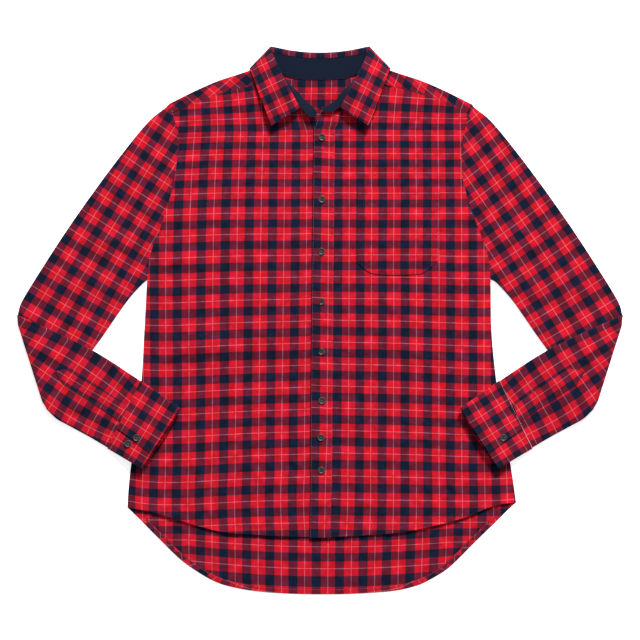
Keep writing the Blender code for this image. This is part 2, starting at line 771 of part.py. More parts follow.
def button(name, x, y, low):
    """A four-hole button with a sunk middle and a raised rim."""
    build = bmesh.new()
    radius, well = BUTTON_RADIUS, BUTTON_RADIUS * 0.72
    profile = ((radius * 0.86, 0.0), (radius, BUTTON_HEIGHT * 0.45), (radius * 0.93, BUTTON_HEIGHT),
               (well, BUTTON_HEIGHT * 0.94), (well * 0.86, BUTTON_HEIGHT - BUTTON_WELL))
    rings = []
    for reach, level in profile:
        ring = []
        for k in range(BUTTON_SIDES):
            angle = 2 * math.pi * k / BUTTON_SIDES
            place = (x + reach * math.cos(angle), y + reach * math.sin(angle), low + level)
            ring.append(build.verts.new(np.array(place) * MM))
        rings.append(ring)
    for lower, upper in zip(rings, rings[1:]):
        for k in range(BUTTON_SIDES):
            after = (k + 1) % BUTTON_SIDES
            build.faces.new((lower[k], lower[after], upper[after], upper[k]))
    build.faces.new(rings[0][::-1])
    build.faces.new(rings[-1])
    bmesh.ops.recalc_face_normals(build, faces=build.faces)
    mesh = bpy.data.meshes.new(name)
    build.to_mesh(mesh)
    build.free()
    piece = add_object(name, mesh, button_plastic())
    cutter = hole_cutter(name, x, y, low)
    cut = piece.modifiers.new("holes", "BOOLEAN")
    cut.operation = "DIFFERENCE"
    cut.object = cutter


def hole_cutter(name, x, y, low):
    build = bmesh.new()
    for sx in (-1.0, 1.0):
        for sy in (-1.0, 1.0):
            made = bmesh.ops.create_cone(
                build,
                cap_ends=True,
                segments=HOLE_SIDES,
                radius1=BUTTON_HOLE_RADIUS * MM,
                radius2=BUTTON_HOLE_RADIUS * MM,
                depth=BUTTON_HEIGHT * 3 * MM,
            )
            offset = (x + sx * BUTTON_HOLE_OFFSET, y + sy * BUTTON_HOLE_OFFSET, low)
            bmesh.ops.translate(build, verts=made["verts"], vec=np.array(offset) * MM)
    mesh = bpy.data.meshes.new(f"{name}_holes")
    build.to_mesh(mesh)
    build.free()
    cutter = bpy.data.objects.new(f"{name}_holes", mesh)
    bpy.context.scene.collection.objects.link(cutter)
    cutter.hide_render = True
    cutter.display_type = "WIRE"
    return cutter


def buttons():
    for number, (x, y) in enumerate(FRONT_BUTTONS, 1):
        button(f"front_button_{number}", x, y, over_front(x, y) + CLOTH + BUTTON_REST)
    x, y = CUFF_BUTTON
    low = float(forearm_low(x, y)) + CUFF_LAP_MIDDLE + CUFF_PLY / 2 + BUTTON_REST
    button("cuff_button_right", x, y, low)
    button("cuff_button_left", -x, y, low)
    x, y = CUFF_SPARE_BUTTON
    low = float(forearm_low(x, y)) + CUFF_UNDERLAP_MIDDLE + CUFF_PLY / 2 + BUTTON_REST
    button("cuff_spare_button_right", x, y, low)


def main():
    for old in list(bpy.data.objects):
        bpy.data.objects.remove(old, do_unlink=True)
    back_panel()
    yoke()
    fronts()
    placket()
    pocket()
    hems()
    collar_leaf()
    collar_stand()
    for name, column, sign in (("right", 1, -1.0), ("left", 2, 1.0)):
        sleeve(name, column, sign)
        cuff(name, sign)
    buttons()


main()
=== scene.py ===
"""Looks of the flannel shirt: fine cloth over the solids, its checks, stitches and buttons, and a studio.

Sizes are in millimetres in the row frame. The checks' places are in pixels of the 640-pixel photograph.
"""

import json
import math

import bpy
import numpy as np
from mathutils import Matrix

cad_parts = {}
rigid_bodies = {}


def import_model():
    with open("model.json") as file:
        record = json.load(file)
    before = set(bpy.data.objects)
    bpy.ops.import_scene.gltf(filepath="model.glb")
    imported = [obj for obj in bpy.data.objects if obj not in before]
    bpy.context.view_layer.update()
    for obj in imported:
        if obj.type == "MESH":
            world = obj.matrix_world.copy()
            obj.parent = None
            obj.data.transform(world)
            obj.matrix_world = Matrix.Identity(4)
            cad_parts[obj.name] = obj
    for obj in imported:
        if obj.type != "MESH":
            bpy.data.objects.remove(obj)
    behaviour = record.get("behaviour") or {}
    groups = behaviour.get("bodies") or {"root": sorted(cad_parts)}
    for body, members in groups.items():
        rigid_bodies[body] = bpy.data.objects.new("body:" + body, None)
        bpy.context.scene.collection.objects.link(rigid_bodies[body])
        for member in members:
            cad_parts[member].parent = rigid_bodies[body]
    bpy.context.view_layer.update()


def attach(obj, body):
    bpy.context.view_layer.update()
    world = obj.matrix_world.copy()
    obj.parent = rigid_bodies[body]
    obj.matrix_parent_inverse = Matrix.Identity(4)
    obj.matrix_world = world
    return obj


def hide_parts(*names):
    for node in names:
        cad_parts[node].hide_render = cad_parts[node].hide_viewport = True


MM = 0.001
PIXEL = 1.6  # mm a pixel
CENTRE_X, CENTRE_Y = 319.5, 320.0  # the pixel that lies over the row frame's origin

# Sizes, as in the solids
CLOTH, COLLAR_PLY, CUFF_PLY = 1.0, 1.5, 1.6
SEAM, YOKE_GAP, GAUNTLET_GAP, BUTTON_GAP = 0.3, 0.42, 0.35, 0.35
FRONT_LOW = 2.8
TUBE = FRONT_LOW + CLOTH
FOREARM_LOW = 4.9
SIDE_DROP = 1.5
UNDERLAP_DROP = 1.4
UNDERLAP = 28.0
PLACKET_WIDTH = 33.6
WAVE = 0.5
NECK_LIFT = 2.2
YOKE_SEAM_Y = 292.8
HEM_TURN = 10.0
ROLL_AT_FRONT, ROLL_AT_BACK = 3.5, 7.0
CUFF_DEPTH = 73.0
CUFF_LAP_END, CUFF_LAP_MIDDLE = 84.0, 5.0
CUFF_UNDERLAP_END, CUFF_UNDERLAP_MIDDLE = 58.0, 3.1
SIDE_ANGLES = np.radians([-60, -30, 0, 30, 60])  # the points round a folded side

# Sizes that only the looks have
LOWEST_FRONT = 1.15  # just clear of the back
RIM = 0.35  # how far a cut edge is rounded out
CUFF_SLIP = 3.6  # the cuff's lower side shows past its end
CUFF_LIFT, CUFF_MOUTH = 6.0, 4.0  # its end stands off the front, and its upper layer more than its lower one
LEAF_CURL = 10.0  # the leaf's free edges stand off the fronts
LEAF_FOLD = 2.4  # past its fold, the leaf keeps one row of the check
LEAF_MEETS = 9  # repeats from one side of the leaf to the other
LEAF_BACK_PLACE, LEAF_REPEAT = -4.48325, 33.44  # the check behind the neck: its place, and mm a repeat
LAP_LIFT = 1.3
HEM_STITCHES = 9.6  # up from the front hem
HEM_END = 284.0  # where the tail's turned hem runs into the side seams
STITCH, STITCH_GAP, STITCH_RADIUS = 2.4, 1.1, 0.24
RELIEF = 1.6  # scales the height of the main creases
DEEPEST = 1.15  # the troughs' limit
FRONT_ROWS, FRONT_COLUMNS = 200, 104
UPPER_SECTIONS, FOREARM_SECTIONS, RING = 84, 66, 44
MIDDLE = np.minimum(np.linspace(0, 1, RING), np.linspace(1, 0, RING))  # how far inside the ring's two sides
FOREARM_EDGE = 0.012  # share of the forearm's width over which its outer edge keeps one row of the check

# Columns: y, left x, right x
SIDE_SEAM = (
    (-299.2, -308, 314.6), (-291.2, -307.5, 313.8), (-272, -306.4, 311.2), (-240, -303.2, 306.4),
    (-176, -295.2, 295.2), (-97.6, -285.6, 282.4), (-16, -280.8, 274.4), (67.2, -276, 272.8)
)
ARMHOLE = (
    (67.2, -276, 272.8), (110, -270, 267.3), (150, -254.5, 252), (190, -241.5, 237.5), (225, -233, 229),
    (259, -228.3, 226), (292.8, -225.7, 227.8), (331.5, -236, 239.5), (344.3, -241.5, 243)
)
# Columns: x, y
FRONT_HEM = (
    (-308, -299.2), (-271.2, -306), (-228, -318.4), (-184.8, -331.4), (-142.4, -339.6), (-36, -345.8),
    (50.4, -344.7), (136.8, -337.6), (224.8, -317.4), (256.8, -304.6), (284, -294.6), (313.8, -291.2)
)
BACK_HEM = (
    (-308, -299.2), (-286.4, -320.4), (-270.4, -336.6), (-254.4, -352.6), (-238.4, -368.6), (-220.8, -384.8),
    (-198.4, -400.8), (-171.2, -416.6), (-145.6, -425.6), (-105.6, -433), (-53.6, -437.2), (7.2, -438.4),
    (61.6, -437.2), (120, -432.6), (153.6, -424.8), (171.2, -417.4), (198.4, -401.6), (217.6, -385.4),
    (249.6, -353.2), (283.2, -320.6), (299.2, -304.6), (313.8, -291.2)
)
PLACKET_EDGE = (
    (-16, -348.6), (-15.2, -288), (-14.2, -112), (-10.1, 272), (-8.8, 300.8), (-5.6, 316.8), (-2.4, 330),
    (-0.8, 341)
)
SHOULDER_FOLD = ((243, 344.3), (197, 367), (159.5, 383), (120, 395.6), (84, 409))
YOKE_FRONT_SEAM = ((239.5, 331.5), (190, 352.5), (145, 367.5), (104, 377.5), (73, 392))
FRONT_NECK_RIGHT = ((73, 392), (48.6, 373.2), (26.4, 349.2), (14.8, 338), (6, 330.5))
FRONT_NECK_LEFT = ((73, 392), (48.6, 373.2), (26.4, 349.2), (12, 342.5), (0.5, 341.5))
BACK_NECK = ((84, 409), (64, 393.4), (50, 388), (25, 384.9), (0, 384.2))
LEAF_BACK_EDGE = ((0, 380), (36, 382), (75, 388), (112, 401))
SLEEVE_OUTER = (
    (-241.5, 344.3), (-272, 321), (-312.4, 272.8), (-360.4, 208.8), (-405.4, 144.6), (-447, 80.6),
    (-477.4, 30.6), (-484, 9)
)
SLEEVE_INNER = ((-276, 67.2), (-308, 32), (-352.8, -32), (-399, -93), (-435.8, -143.2))
FOREARM_OUTER = ((-484, 9), (-436, -12.3), (-362.4, -48.3), (-303.2, -85.8), (-287.2, -96.6))
FOREARM_INNER = ((-435.8, -143.2), (-421, -157.4), (-402.4, -168.2), (-367.2, -187.6), (-340, -203.5))
CUFF_OUTER = ((-286.8, -96.8), (-223.6, -140.2))
CUFF_INNER = ((-339.6, -204.4), (-284, -235.2))
POCKET_LEFT = ((60, 92.8), (60, 150), (60.4, 211.2))
POCKET_RIGHT = ((189.6, 96), (190.4, 150), (190.7, 211.2))
POCKET_BOTTOM = ((60, 92.8), (81.8, 76), (119.2, 73), (155.2, 74.2), (167.2, 77.8), (189.6, 96))
# The ends at the point's shoulder and at the cuff
GAUNTLET_UPPER_EDGE = ((-398, -76.4), (-309, -135.8))
GAUNTLET_LOWER_EDGE = ((-411, -100.6), (-319.2, -161))
GAUNTLET_POINT = (-423.2, -81.6)
FRONT_BUTTONS = (
    (3.2, 292.8), (3.2, 193.6), (2.4, 110.4), (2.4, 30.4), (2.4, -49.6), (3.2, -128), (1.6, -187.2),
    (2.4, -239.2)
)
CUFF_BUTTON = (-292, -186.6)
CUFF_SPARE_BUTTON = (-306, -196.4)
# Columns: neck seam x, y, z; crest of the roll x, y, z; free edge of the leaf x, y, z; roll
COLLAR = (
    (24.8, 350.4, 5.8, 34.4, 337.6, 15.5, 77.6, 310.4, 5.8, 0.4),
    (36, 364.8, 6.9, 44, 356, 18, 84, 328, 5.8, 0.4), (47.2, 374.4, 7.3, 52, 373, 19, 90.5, 345, 6, 0.5),
    (58.4, 385.6, 7.4, 61, 392, 18, 97, 362, 6.8, 0.6),
    (69.6, 395.2, 7.4, 70, 413, 14, 103.5, 380, 7.9, 0.8), (76, 405, 7.2, 76, 427, 9.8, 109.5, 396, 7.9, 1),
    (79.2, 412, 5, 79.6, 436.6, 5.2, 112.5, 402, 4.4, 1.4),
    (76, 408, 2.7, 75, 437.4, 2.6, 109, 401, 0.8, 1.7),
    (50, 389.4, 2.7, 50, 432.4, 2.5, 75, 388, 0.75, 1.75),
    (25, 386.2, 2.7, 25, 429.2, 2.5, 36, 382, 0.75, 1.75), (0, 385.5, 2.7, 0, 428.3, 2.5, 0, 380, 0.75, 1.75)
)
# Columns: neck seam x, y, z; top edge x, y, z
STAND_END_RIGHT = (
    (-4.8, 331.4, 10.4, -5.8, 328, 10.8), (-6, 335.2, 10, -10.6, 325, 11.4),
    (-11.6, 341.4, 8.6, -20, 325, 12.6)
)
STAND_END_LEFT = (
    (2.6, 336.6, 9.4, 3.4, 335, 9.8), (6, 339.6, 9.2, 9, 332.4, 10.6), (13, 342.9, 8.2, 21, 332.6, 12)
)
# Columns: radius, height
BUTTON = ((4.6, 0), (5.35, 0.25), (5.72, 0.8), (5.75, 1.3), (5.62, 1.8), (5.3, 2.1), (4.9, 2.2), (4.5, 2.08),
          (4.2, 1.8), (3.9, 1.55), (3.3, 1.45))
BUTTON_SIDES = 48
HOLE_PLACE = 1.5

# Where the check's lines run in each region, as measured in the photograph. Each entry: the pixel at its
# origin, the pixels that bound its curved terms, then the number of repeats across the warp lines and
# across the weft lines, as polynomials in hundreds of pixels: 1, x, y, xx, xy, yy, xxx, ...
CHECKS = {
    "front_right": (
        (238, 213.5), (130, 100, 312, 535),
        (0.034, 4.229, 0.082, 0.113, -0.07, -0.061, 0.129, -0.011, 0.105, 0.033, -0.048, -0.031, -0.007,
         -0.027, -0.006),
        (0.038, 0.056, 4.798, -0.187, 0.074, -0.38, 0.07, 0.059, 0.025, 0.19, 0.203, -0.065, -0.016, -0.011,
         -0.033),
    ),
    "front_left": (
        (393.8, 234), (330, 100, 512, 535),
        (0.021, 4.45, -0.006, -0.064, -0.032, 0.011, 0.013, 0.017, 0.021, -0.002, 0.045, -0.002, -0.002,
         -0.008, 0),
        (0.025, -0.01, 4.716, -0.096, -0.069, -0.222, -0.026, -0.04, -0.053, 0.111, 0.139, -0.019, 0.02,
         0.029, -0.021),
    ),
    "placket": (
        (325, 276.5), (308, 120, 336, 540),
        (-0.11, 4.165, 0.029),
        (0.014, -0.241, 4.697, 0, 0.012, -0.098),
    ),
    "pocket": ((393.8, 234), (350, 180, 440, 275), (0.029, 4.502, 0.04), (0.009, 0.003, 4.871)),
    "back": (
        (327.2, 546.6), (190, 541, 452, 590),
        (-0.018, 4.268, 0.067, -0.028, 0.063, -0.087),
        (-0.002, -0.015, 5.016, 0.175, 0.057, -1.971),
    ),
    "neck": ((311, 93.5), (290, 78, 350, 110), (0.009, 5.002, 0.135), (0.026, 0.049, 4.965)),
    "yoke_right": ((220, 86.5), (168, 68, 250, 114), (0.433, 3.098, -3.848), (-0.018, 2.873, 3.485)),
    "yoke_left": ((420.9, 83.6), (388, 68, 476, 114), (0.043, 3.922, 1.623), (-0.045, -3.555, 4.309)),
    "leaf_right": ((272.1, 86.6), (250, 48, 300, 125), (0.005, 5.281, -2.366), (0.047, 1.919, 4.004)),
    "leaf_left": ((364.8, 89.1), (340, 48, 390, 125), (-0.006, -5.337, -2.441), (0.031, -2.166, 3.988)),
    "upper_right": (
        (88.4, 266.4), (16, 100, 176, 350),
        (0.029, 3.878, 2.364, 0.324, 0.169, -0.039),
        (0.003, -2.282, 3.823, -0.009, 0.183, 0.104),
    ),
    "upper_left": (
        (550, 266), (462, 100, 623, 350),
        (0.068, -3.729, 2.434, 0.108, -0.047, -0.067),
        (0.384, 2.363, 3.621, -0.098, -0.32, 0.117),
    ),
    "forearm_right": (
        (79, 390), (18, 322, 136, 445),
        (0.719, 3.828, 2.537, 0.17, 0.473, -0.396, -0.136, 0.089, 0.391, -0.594),
        (0.839, -2.184, 3.401, 0.274, -0.536, 0.704, -1.423, 1.346, 1.469, 0.417),
    ),
    "forearm_left": (
        (561, 390), (503, 322, 621, 445),
        (0.945, -3.574, 2.318, 0.203, -0.257, -0.273, 0.339, 0.248, -1.012, -0.727),
        (1.061, 2.273, 3.631, 0.302, 0, 0.024, 1.862, 1.288, -2.092, -0.554),
    ),
    "gauntlet_right": ((88.2, 388.7), (53, 366, 124, 422), (0.047, 3.876, 2.752), (0.005, -2.941, 4.994)),
    "gauntlet_left": ((557.1, 385.5), (514, 366, 587, 422), (0, -3.762, 2.244), (0.163, 3.005, 4.339)),
    "cuff_right": ((158, 411), (106, 386, 182, 468), (0.015, 4.013, 2.462), (0.006, -2.297, 3.845)),
    "cuff_left": ((480, 415), (458, 386, 533, 468), (0.008, -4.031, 2.495), (0.002, 2.436, 4.146)),
}
# Each entry: the pixel row where the pull starts, the way it grows, the middle pixel column, the pixels to
# each side, then the pull along x and along y: constant, x, xx and growth terms
PULLS = (
    ("front_right", 130, -30, 220, 50, (3.24, 0.48, -0.61, 0.52), (0.76, 2.89, 1.64, 2.21)),
    ("front_left", 130, -30, 419, 50, (-1.55, 0.4, 1.52, -0.92), (-1.39, -1.83, -0.41, 3.95)),
    ("front_right", 470, 50, 230, 100, (2.49, 1.56, 1.14, -2.07), (-1.02, -0.17, 0.22, 3.53)),
    ("front_left", 470, 50, 410, 100, (-1.09, -0.16, -0.22, 1.24), (-2.34, -0.69, 1.12, 2.38)),
    ("placket", 440, 50, 325, 10, (1.47, 1.59, 0.82, -0.18), (-0.55, 0.5, 0.25, 0.88))
)

# Creases: soft uneven ridges and troughs. Columns: start x, y, end x, y, height, width at start and end
BODY_CREASES = (
    (-274, 158, -160, 172, 1.3, 15, 9), (-276, 128, -150, 139, -1.1, 13, 10),
    (-280, 92, -162, 96, 1.2, 14, 9), (-282, 58, -190, 70, -1, 11, 9), (-170, 190, -215, 40, -0.8, 20, 26),
    (262, 176, 176, 160, 1, 12, 9), (268, 128, 205, 92, -1.1, 14, 10), (272, 84, 196, 52, 1, 12, 10),
    (240, 150, 222, 20, -0.8, 17, 22), (-268, -60, -120, -34, 0.9, 15, 22),
    (-150, -92, -40, -70, -0.8, 20, 16), (262, -84, 120, -52, 0.9, 15, 22),
    (180, -120, 60, -100, -0.8, 18, 15), (-120, 300, -96, 200, 0.8, 16, 22),
    (128, 316, 108, 232, 0.8, 15, 21), (-60, 120, -90, -20, 0.7, 24, 18), (70, 40, 116, -60, 0.7, 20, 24),
    (-210, -210, -196, -330, 0.9, 14, 20), (-120, -232, -128, -344, -0.8, 13, 18),
    (96, -226, 104, -342, 0.9, 14, 19), (206, -214, 196, -322, -0.8, 13, 17)
)
SLEEVE_CREASES = (
    (-262, 286, -330, 210, 1.2, 16, 10), (-268, 190, -352, 160, -1.1, 13, 10),
    (-272, 120, -366, 132, 1.3, 15, 9), (-290, 84, -392, 92, -1.2, 12, 11),
    (-318, 40, -420, 70, 1.1, 12, 14), (-352, 0, -440, 40, -1.2, 11, 13), (-392, -48, -462, 14, 1.2, 10, 14),
    (-460, -30, -404, -60, 1, 12, 9), (-446, -78, -380, -72, -0.9, 11, 9),
    (-430, -120, -350, -150, 0.9, 10, 12), (-404, -96, -340, -110, 0.8, 9, 10)
)
# Columns: wavelength, heading in degrees, phase, height
RUMPLES = (
    (96, 20, 0.3, 0.5), (74, 105, 1.9, 0.4), (47, 62, 4, 0.24), (38, 150, 2.2, 0.2), (30, 15, 5.1, 0.15),
    (26, 80, 0.9, 0.13), (23, 125, 3.3, 0.11), (19, 45, 1.2, 0.07)
)

# Colours of the cloth, in linear light
RED, MAROON, NAVY = (0.540, 0.0068, 0.0200, 1), (0.140, 0.0080, 0.0215, 1), (0.0042, 0.0092, 0.0245, 1)
WHITE_ON_RED, WHITE_ON_NAVY = (0.80, 0.110, 0.125, 1), (0.35, 0.118, 0.150, 1)
WARM, ROSE = (1, 0.85, 0.72, 1), (1, 1.25, 1.5, 1)  # tints of the uneven dye
RED_SHARE = 0.305  # half of the red band, as a share of the repeat
LINE_SHARE, LINE_STRENGTH = 0.015, 1.5
REPEAT = 36.0  # mm
YARNS = 44  # twill ribs a repeat

# The studio, in metres and watts
CAMERA_LENS, SENSOR, VIEW_WIDTH, CAMERA_Y = 100.0, 36.0, 1.024, 0.0008
LAMPS = (("key", (1.7, 7.1, 5.4), 1300.0), ("fill", (1.8, -0.6, 2.4), 6.0))
LAMP_SIZE = 2.0
WORLD_STRENGTH = 0.30
FLOOR_GLOW = 0.65  # a light table, which keeps the floor pale beside the shirt
FLOOR_REACH = 9000  # mm

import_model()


# Curves, heights and checks


def ease(value):
    value = np.clip(value, 0, 1)
    return value * value * (3 - 2 * value)


def hump(value, width):
    return np.exp(-((value / width) ** 2))


def through(points, steps=12):
    """A smooth dense curve through the points."""
    points = np.asarray(points, float)
    padded = np.vstack([2 * points[0] - points[1], points, 2 * points[-1] - points[-2]])
    t = (np.arange(steps) / steps)[:, None]
    parts = [0.5 * (2 * b + (c - a) * t + (2 * a - 5 * b + 4 * c - d) * t**2 + (3 * b - a - 3 * c + d) * t**3)
             for a, b, c, d in zip(padded, padded[1:], padded[2:], padded[3:])]
    return np.vstack(parts + [points[-1:]])


def lengths(line):
    """How far along a line each of its points lies."""
    return np.concatenate([[0], np.cumsum(np.linalg.norm(np.diff(line, axis=0), axis=1))])


def along_line(line, places):
    """The points at these distances along a line."""
    far = lengths(line)
    return np.stack([np.interp(places, far, column) for column in np.transpose(line)], axis=-1)


def spread(line, count):
    """The line as count points at equal distances along it."""
    return along_line(line, np.linspace(0, lengths(line)[-1], count))


def xy(grid):
    return grid[..., 0], grid[..., 1]


def side_x(y, column, table=SIDE_SEAM):
    rows = np.transpose(table)
    return np.interp(y, rows[0], rows[column])


def placket_x(y):
    x, level = through(PLACKET_EDGE).T
    return np.interp(y, level, x)


def neck_lift(x, y):
    edge = np.array(LEAF_BACK_EDGE)
    beside = np.maximum(0, np.abs(x) - edge[-1, 0])
    below = np.maximum(0, np.interp(np.abs(x), edge[:, 0], edge[:, 1]) - y)
    return NECK_LIFT * (1 - ease((np.hypot(beside, below) - 10) / 25))


def front_low(x, y):
    """The fronts' lower face: the lie of the cloth over the back, its creases and its puckered hem, which
    stands off the tail. The body is fuller above the cuffs than at its sides."""
    inside = np.minimum(x - side_x(y, 1), side_x(y, 2) - x)
    above = y - np.interp(x, *np.transpose(FRONT_HEM))
    calm = ease((inside - 2) / 22)
    wave = WAVE * 0.5 * (1 + np.sin(x / 75 + 0.6) * np.sin(y / 110 + 0.4))
    drop = SIDE_DROP * (1 - ease(inside / 16)) * (1 - ease((y - 30) / 40))
    pucker = 0.42 * np.sin((x + 3 * np.sin(x / 37)) / 2.15) * hump(above, 15) * calm
    sag = (0.35 + 0.9 * ease((x + 160) / 40) * ease((10 - x) / 30)) * hump(above - HEM_STITCHES, 3)
    lift = 1.1 * hump(above, 16) * calm
    full = np.where(x < 0, 4.2 * ease((inside - 1) / 70), 1.6 * ease((inside - 1) / 40))
    full = full * ease((y + 80) / 50) * (1 - ease((y - 130) / 110))
    low = FRONT_LOW + neck_lift(x, y) + wave * ease(inside / 30) - drop + crease(x, y) * calm
    return np.maximum(low + pucker - sag + lift + full, LOWEST_FRONT)


def left_front_low(x, y):
    """The free edge of the left front stands a little off the right one."""
    beside = 1 - ease((x - placket_x(y)) / 24)
    return front_low(x, y) + LAP_LIFT * beside * (1 - ease((y - 280) / 35))


def under_front_low(x, y):
    lap = UNDERLAP_DROP * ease((x - placket_x(y) + 45) / 40)
    return np.maximum(front_low(x, y) - lap, LOWEST_FRONT)


def forearm_low(x, y):
    """The forearm's lower face sinks to the floor past the upper arm and past the body."""
    past_arm = (x - SLEEVE_INNER[0][0]) * 0.799 - (y - SLEEVE_INNER[0][1]) * 0.601
    past_body = side_x(y, 1) - x
    return SEAM + (FOREARM_LOW - SEAM) * (1 - ease((past_arm - 4) / 60) * ease((past_body - 4) / 60))


def pulled(region, px, py):
    """At the neck the placket's check leans with its edge and sits lower, and the right front's leans out."""
    x, y = px, py
    for name, start, growth, middle, reach, along, across in PULLS:
        if name == region:
            share = np.maximum(0, (y - start) / growth)
            beside = np.clip((x - middle) / reach, -1, 1)
            terms = (1, beside, beside * beside, share)
            px = px + share * sum(n * term for n, term in zip(along, terms))
            py = py + share * sum(n * term for n, term in zip(across, terms))
    if region == "placket":
        edge = placket_x((CENTRE_Y - np.minimum(y, 140)) * PIXEL) - placket_x((CENTRE_Y - 140) * PIXEL)
        px, py = px - 0.65 * edge / PIXEL, py - 3.5 * ease((151 - y) / 14)
    if region == "front_right":
        px = px + 3.6 * ease((136 - y) / 22) * ease((x - 292) / 10)
        py = py + 2.2 * ease((150 - y) / 28) * ease((x - 262) / 30)
    return px, py


def check(region, grid):
    """Repeats of the check across the warp and across the weft, at places in millimetres."""
    (x0, y0), (left, top, right, bottom), *lines = CHECKS[region]
    px, py = pulled(region, grid[..., 0] / PIXEL + CENTRE_X, CENTRE_Y - grid[..., 1] / PIXEL)
    free, held = [[(x - x0) / 100, (y - y0) / 100]
                  for x, y in ((px, py), (np.clip(px, left, right), np.clip(py, top, bottom)))]
    terms = [x ** (degree - k) * y**k
             for degree in range(5) for x, y in [free if degree < 2 else held] for k in range(degree + 1)]
    return np.stack([sum(n * term for n, term in zip(numbers, terms)) for numbers in lines], axis=-1)


def ridge(x, y, row):
    """One soft ridge or trough that fades at both ends and swells a little unevenly along its length."""
    x0, y0, x1, y1, height, width0, width1 = row
    dx, dy = x1 - x0, y1 - y0
    length = math.hypot(dx, dy)
    t = ((x - x0) * dx + (y - y0) * dy) / length**2
    across = ((x - x0) * dy - (y - y0) * dx) / length + 0.04 * length * np.sin(t * 4.1 + x0 * 0.05)
    swell = 1 + 0.3 * np.sin(t * 7 + y0 * 0.03)
    width = width0 + (width1 - width0) * np.clip(t, 0, 1)
    return height * ease(t / 0.3) * ease((1 - t) / 0.3) * swell * hump(across, width)


def rumple(x, y):
    """The gentle unevenness of brushed cloth that isn't pressed."""
    total = 0
    for wavelength, heading, phase, height in RUMPLES:
        way = math.radians(heading)
        along = x * math.cos(way) + y * math.sin(way)
        across = y * math.cos(way) - x * math.sin(way)
        bent = along + 0.22 * wavelength * np.sin(across / (0.31 * wavelength) + phase)
        total = total + height * np.sin(bent * 2 * math.pi / wavelength + phase)
    return total


def relief(x, y, rows, covered):
    """Height of the creases. Their troughs are shallow, and cloth that lies under other cloth is calm."""
    total = (rumple(x, y) + RELIEF * sum(ridge(x, y, row) for row in rows)) * (1 - 0.85 * covered)
    return np.where(total < 0, DEEPEST * np.tanh(total / DEEPEST), total)


def crease(x, y):
    under_cuff = ease((np.abs(x) - 205) / 14) * ease((y + 256) / 14) * ease((-72 - y) / 14)
    return relief(x, y, BODY_CREASES, under_cuff)


# Materials


class Tree:
    """A short way to write a material's nodes."""

    def __init__(self, name):
        self.material = bpy.data.materials.new(name)
        self.material.use_nodes = True
        self.nodes = self.material.node_tree.nodes
        self.shader = self.nodes["Principled BSDF"]

    def put(self, socket, value):
        if isinstance(value, bpy.types.NodeSocket):
            self.material.node_tree.links.new(value, socket)
        else:
            socket.default_value = value

    def node(self, kind, inputs=(), **settings):
        made = self.nodes.new("ShaderNode" + kind)
        for key, value in settings.items():
            setattr(made, key, value)
        for key, value in inputs:
            self.put(made.inputs[key], value)
        return made

    def maths(self, operation, *values, clamp=False):
        return self.node("Math", enumerate(values), operation=operation, use_clamp=clamp).outputs[0]

    def times(self, *values, clamp=False):
        return self.maths("MULTIPLY", *values, clamp=clamp)

    def plus(self, *values):
        return self.maths("ADD", *values)

    def minus(self, *values):
        return self.maths("SUBTRACT", *values)

    def noise(self, place, scale, detail, *more, **settings):
        inputs = [("Vector", place), ("Scale", scale), ("Detail", detail), *more]
        return self.node("TexNoise", inputs, **settings).outputs["Fac"]

    def step(self, value, edge, soft):
        """0 below edge and 1 above it, over a width of soft."""
        inputs = [("Value", value), ("From Min", edge - soft), ("From Max", edge + soft)]
        return self.node("MapRange", inputs, interpolation_type="SMOOTHSTEP").outputs["Result"]

    def mix(self, factor, one, two, blend="MIX"):
        inputs = [(0, factor), (6, one), (7, two)]  # the sockets for colours
        return self.node("Mix", inputs, data_type="RGBA", blend_type=blend).outputs[2]

    def twill(self, ribs):
        """The place in the weave, its parts, and the ribs that run along its diagonal, -1 to 1."""
        weave = self.node("UVMap", uv_map="Weave").outputs["UV"]
        parts = self.node("SeparateXYZ", [("Vector", weave)]).outputs
        diagonal = self.plus(parts["X"], parts["Y"])
        return weave, parts, self.maths("SINE", self.times(diagonal, ribs * 2 * math.pi))

    def bump(self, strength, depth, height):
        made = self.node("Bump", [("Strength", strength), ("Distance", depth), ("Height", height)])
        return "Normal", made.outputs["Normal"]

    def finish(self, *inputs):
        for name, value in inputs:
            self.put(self.shader.inputs[name], value)
        return self.material


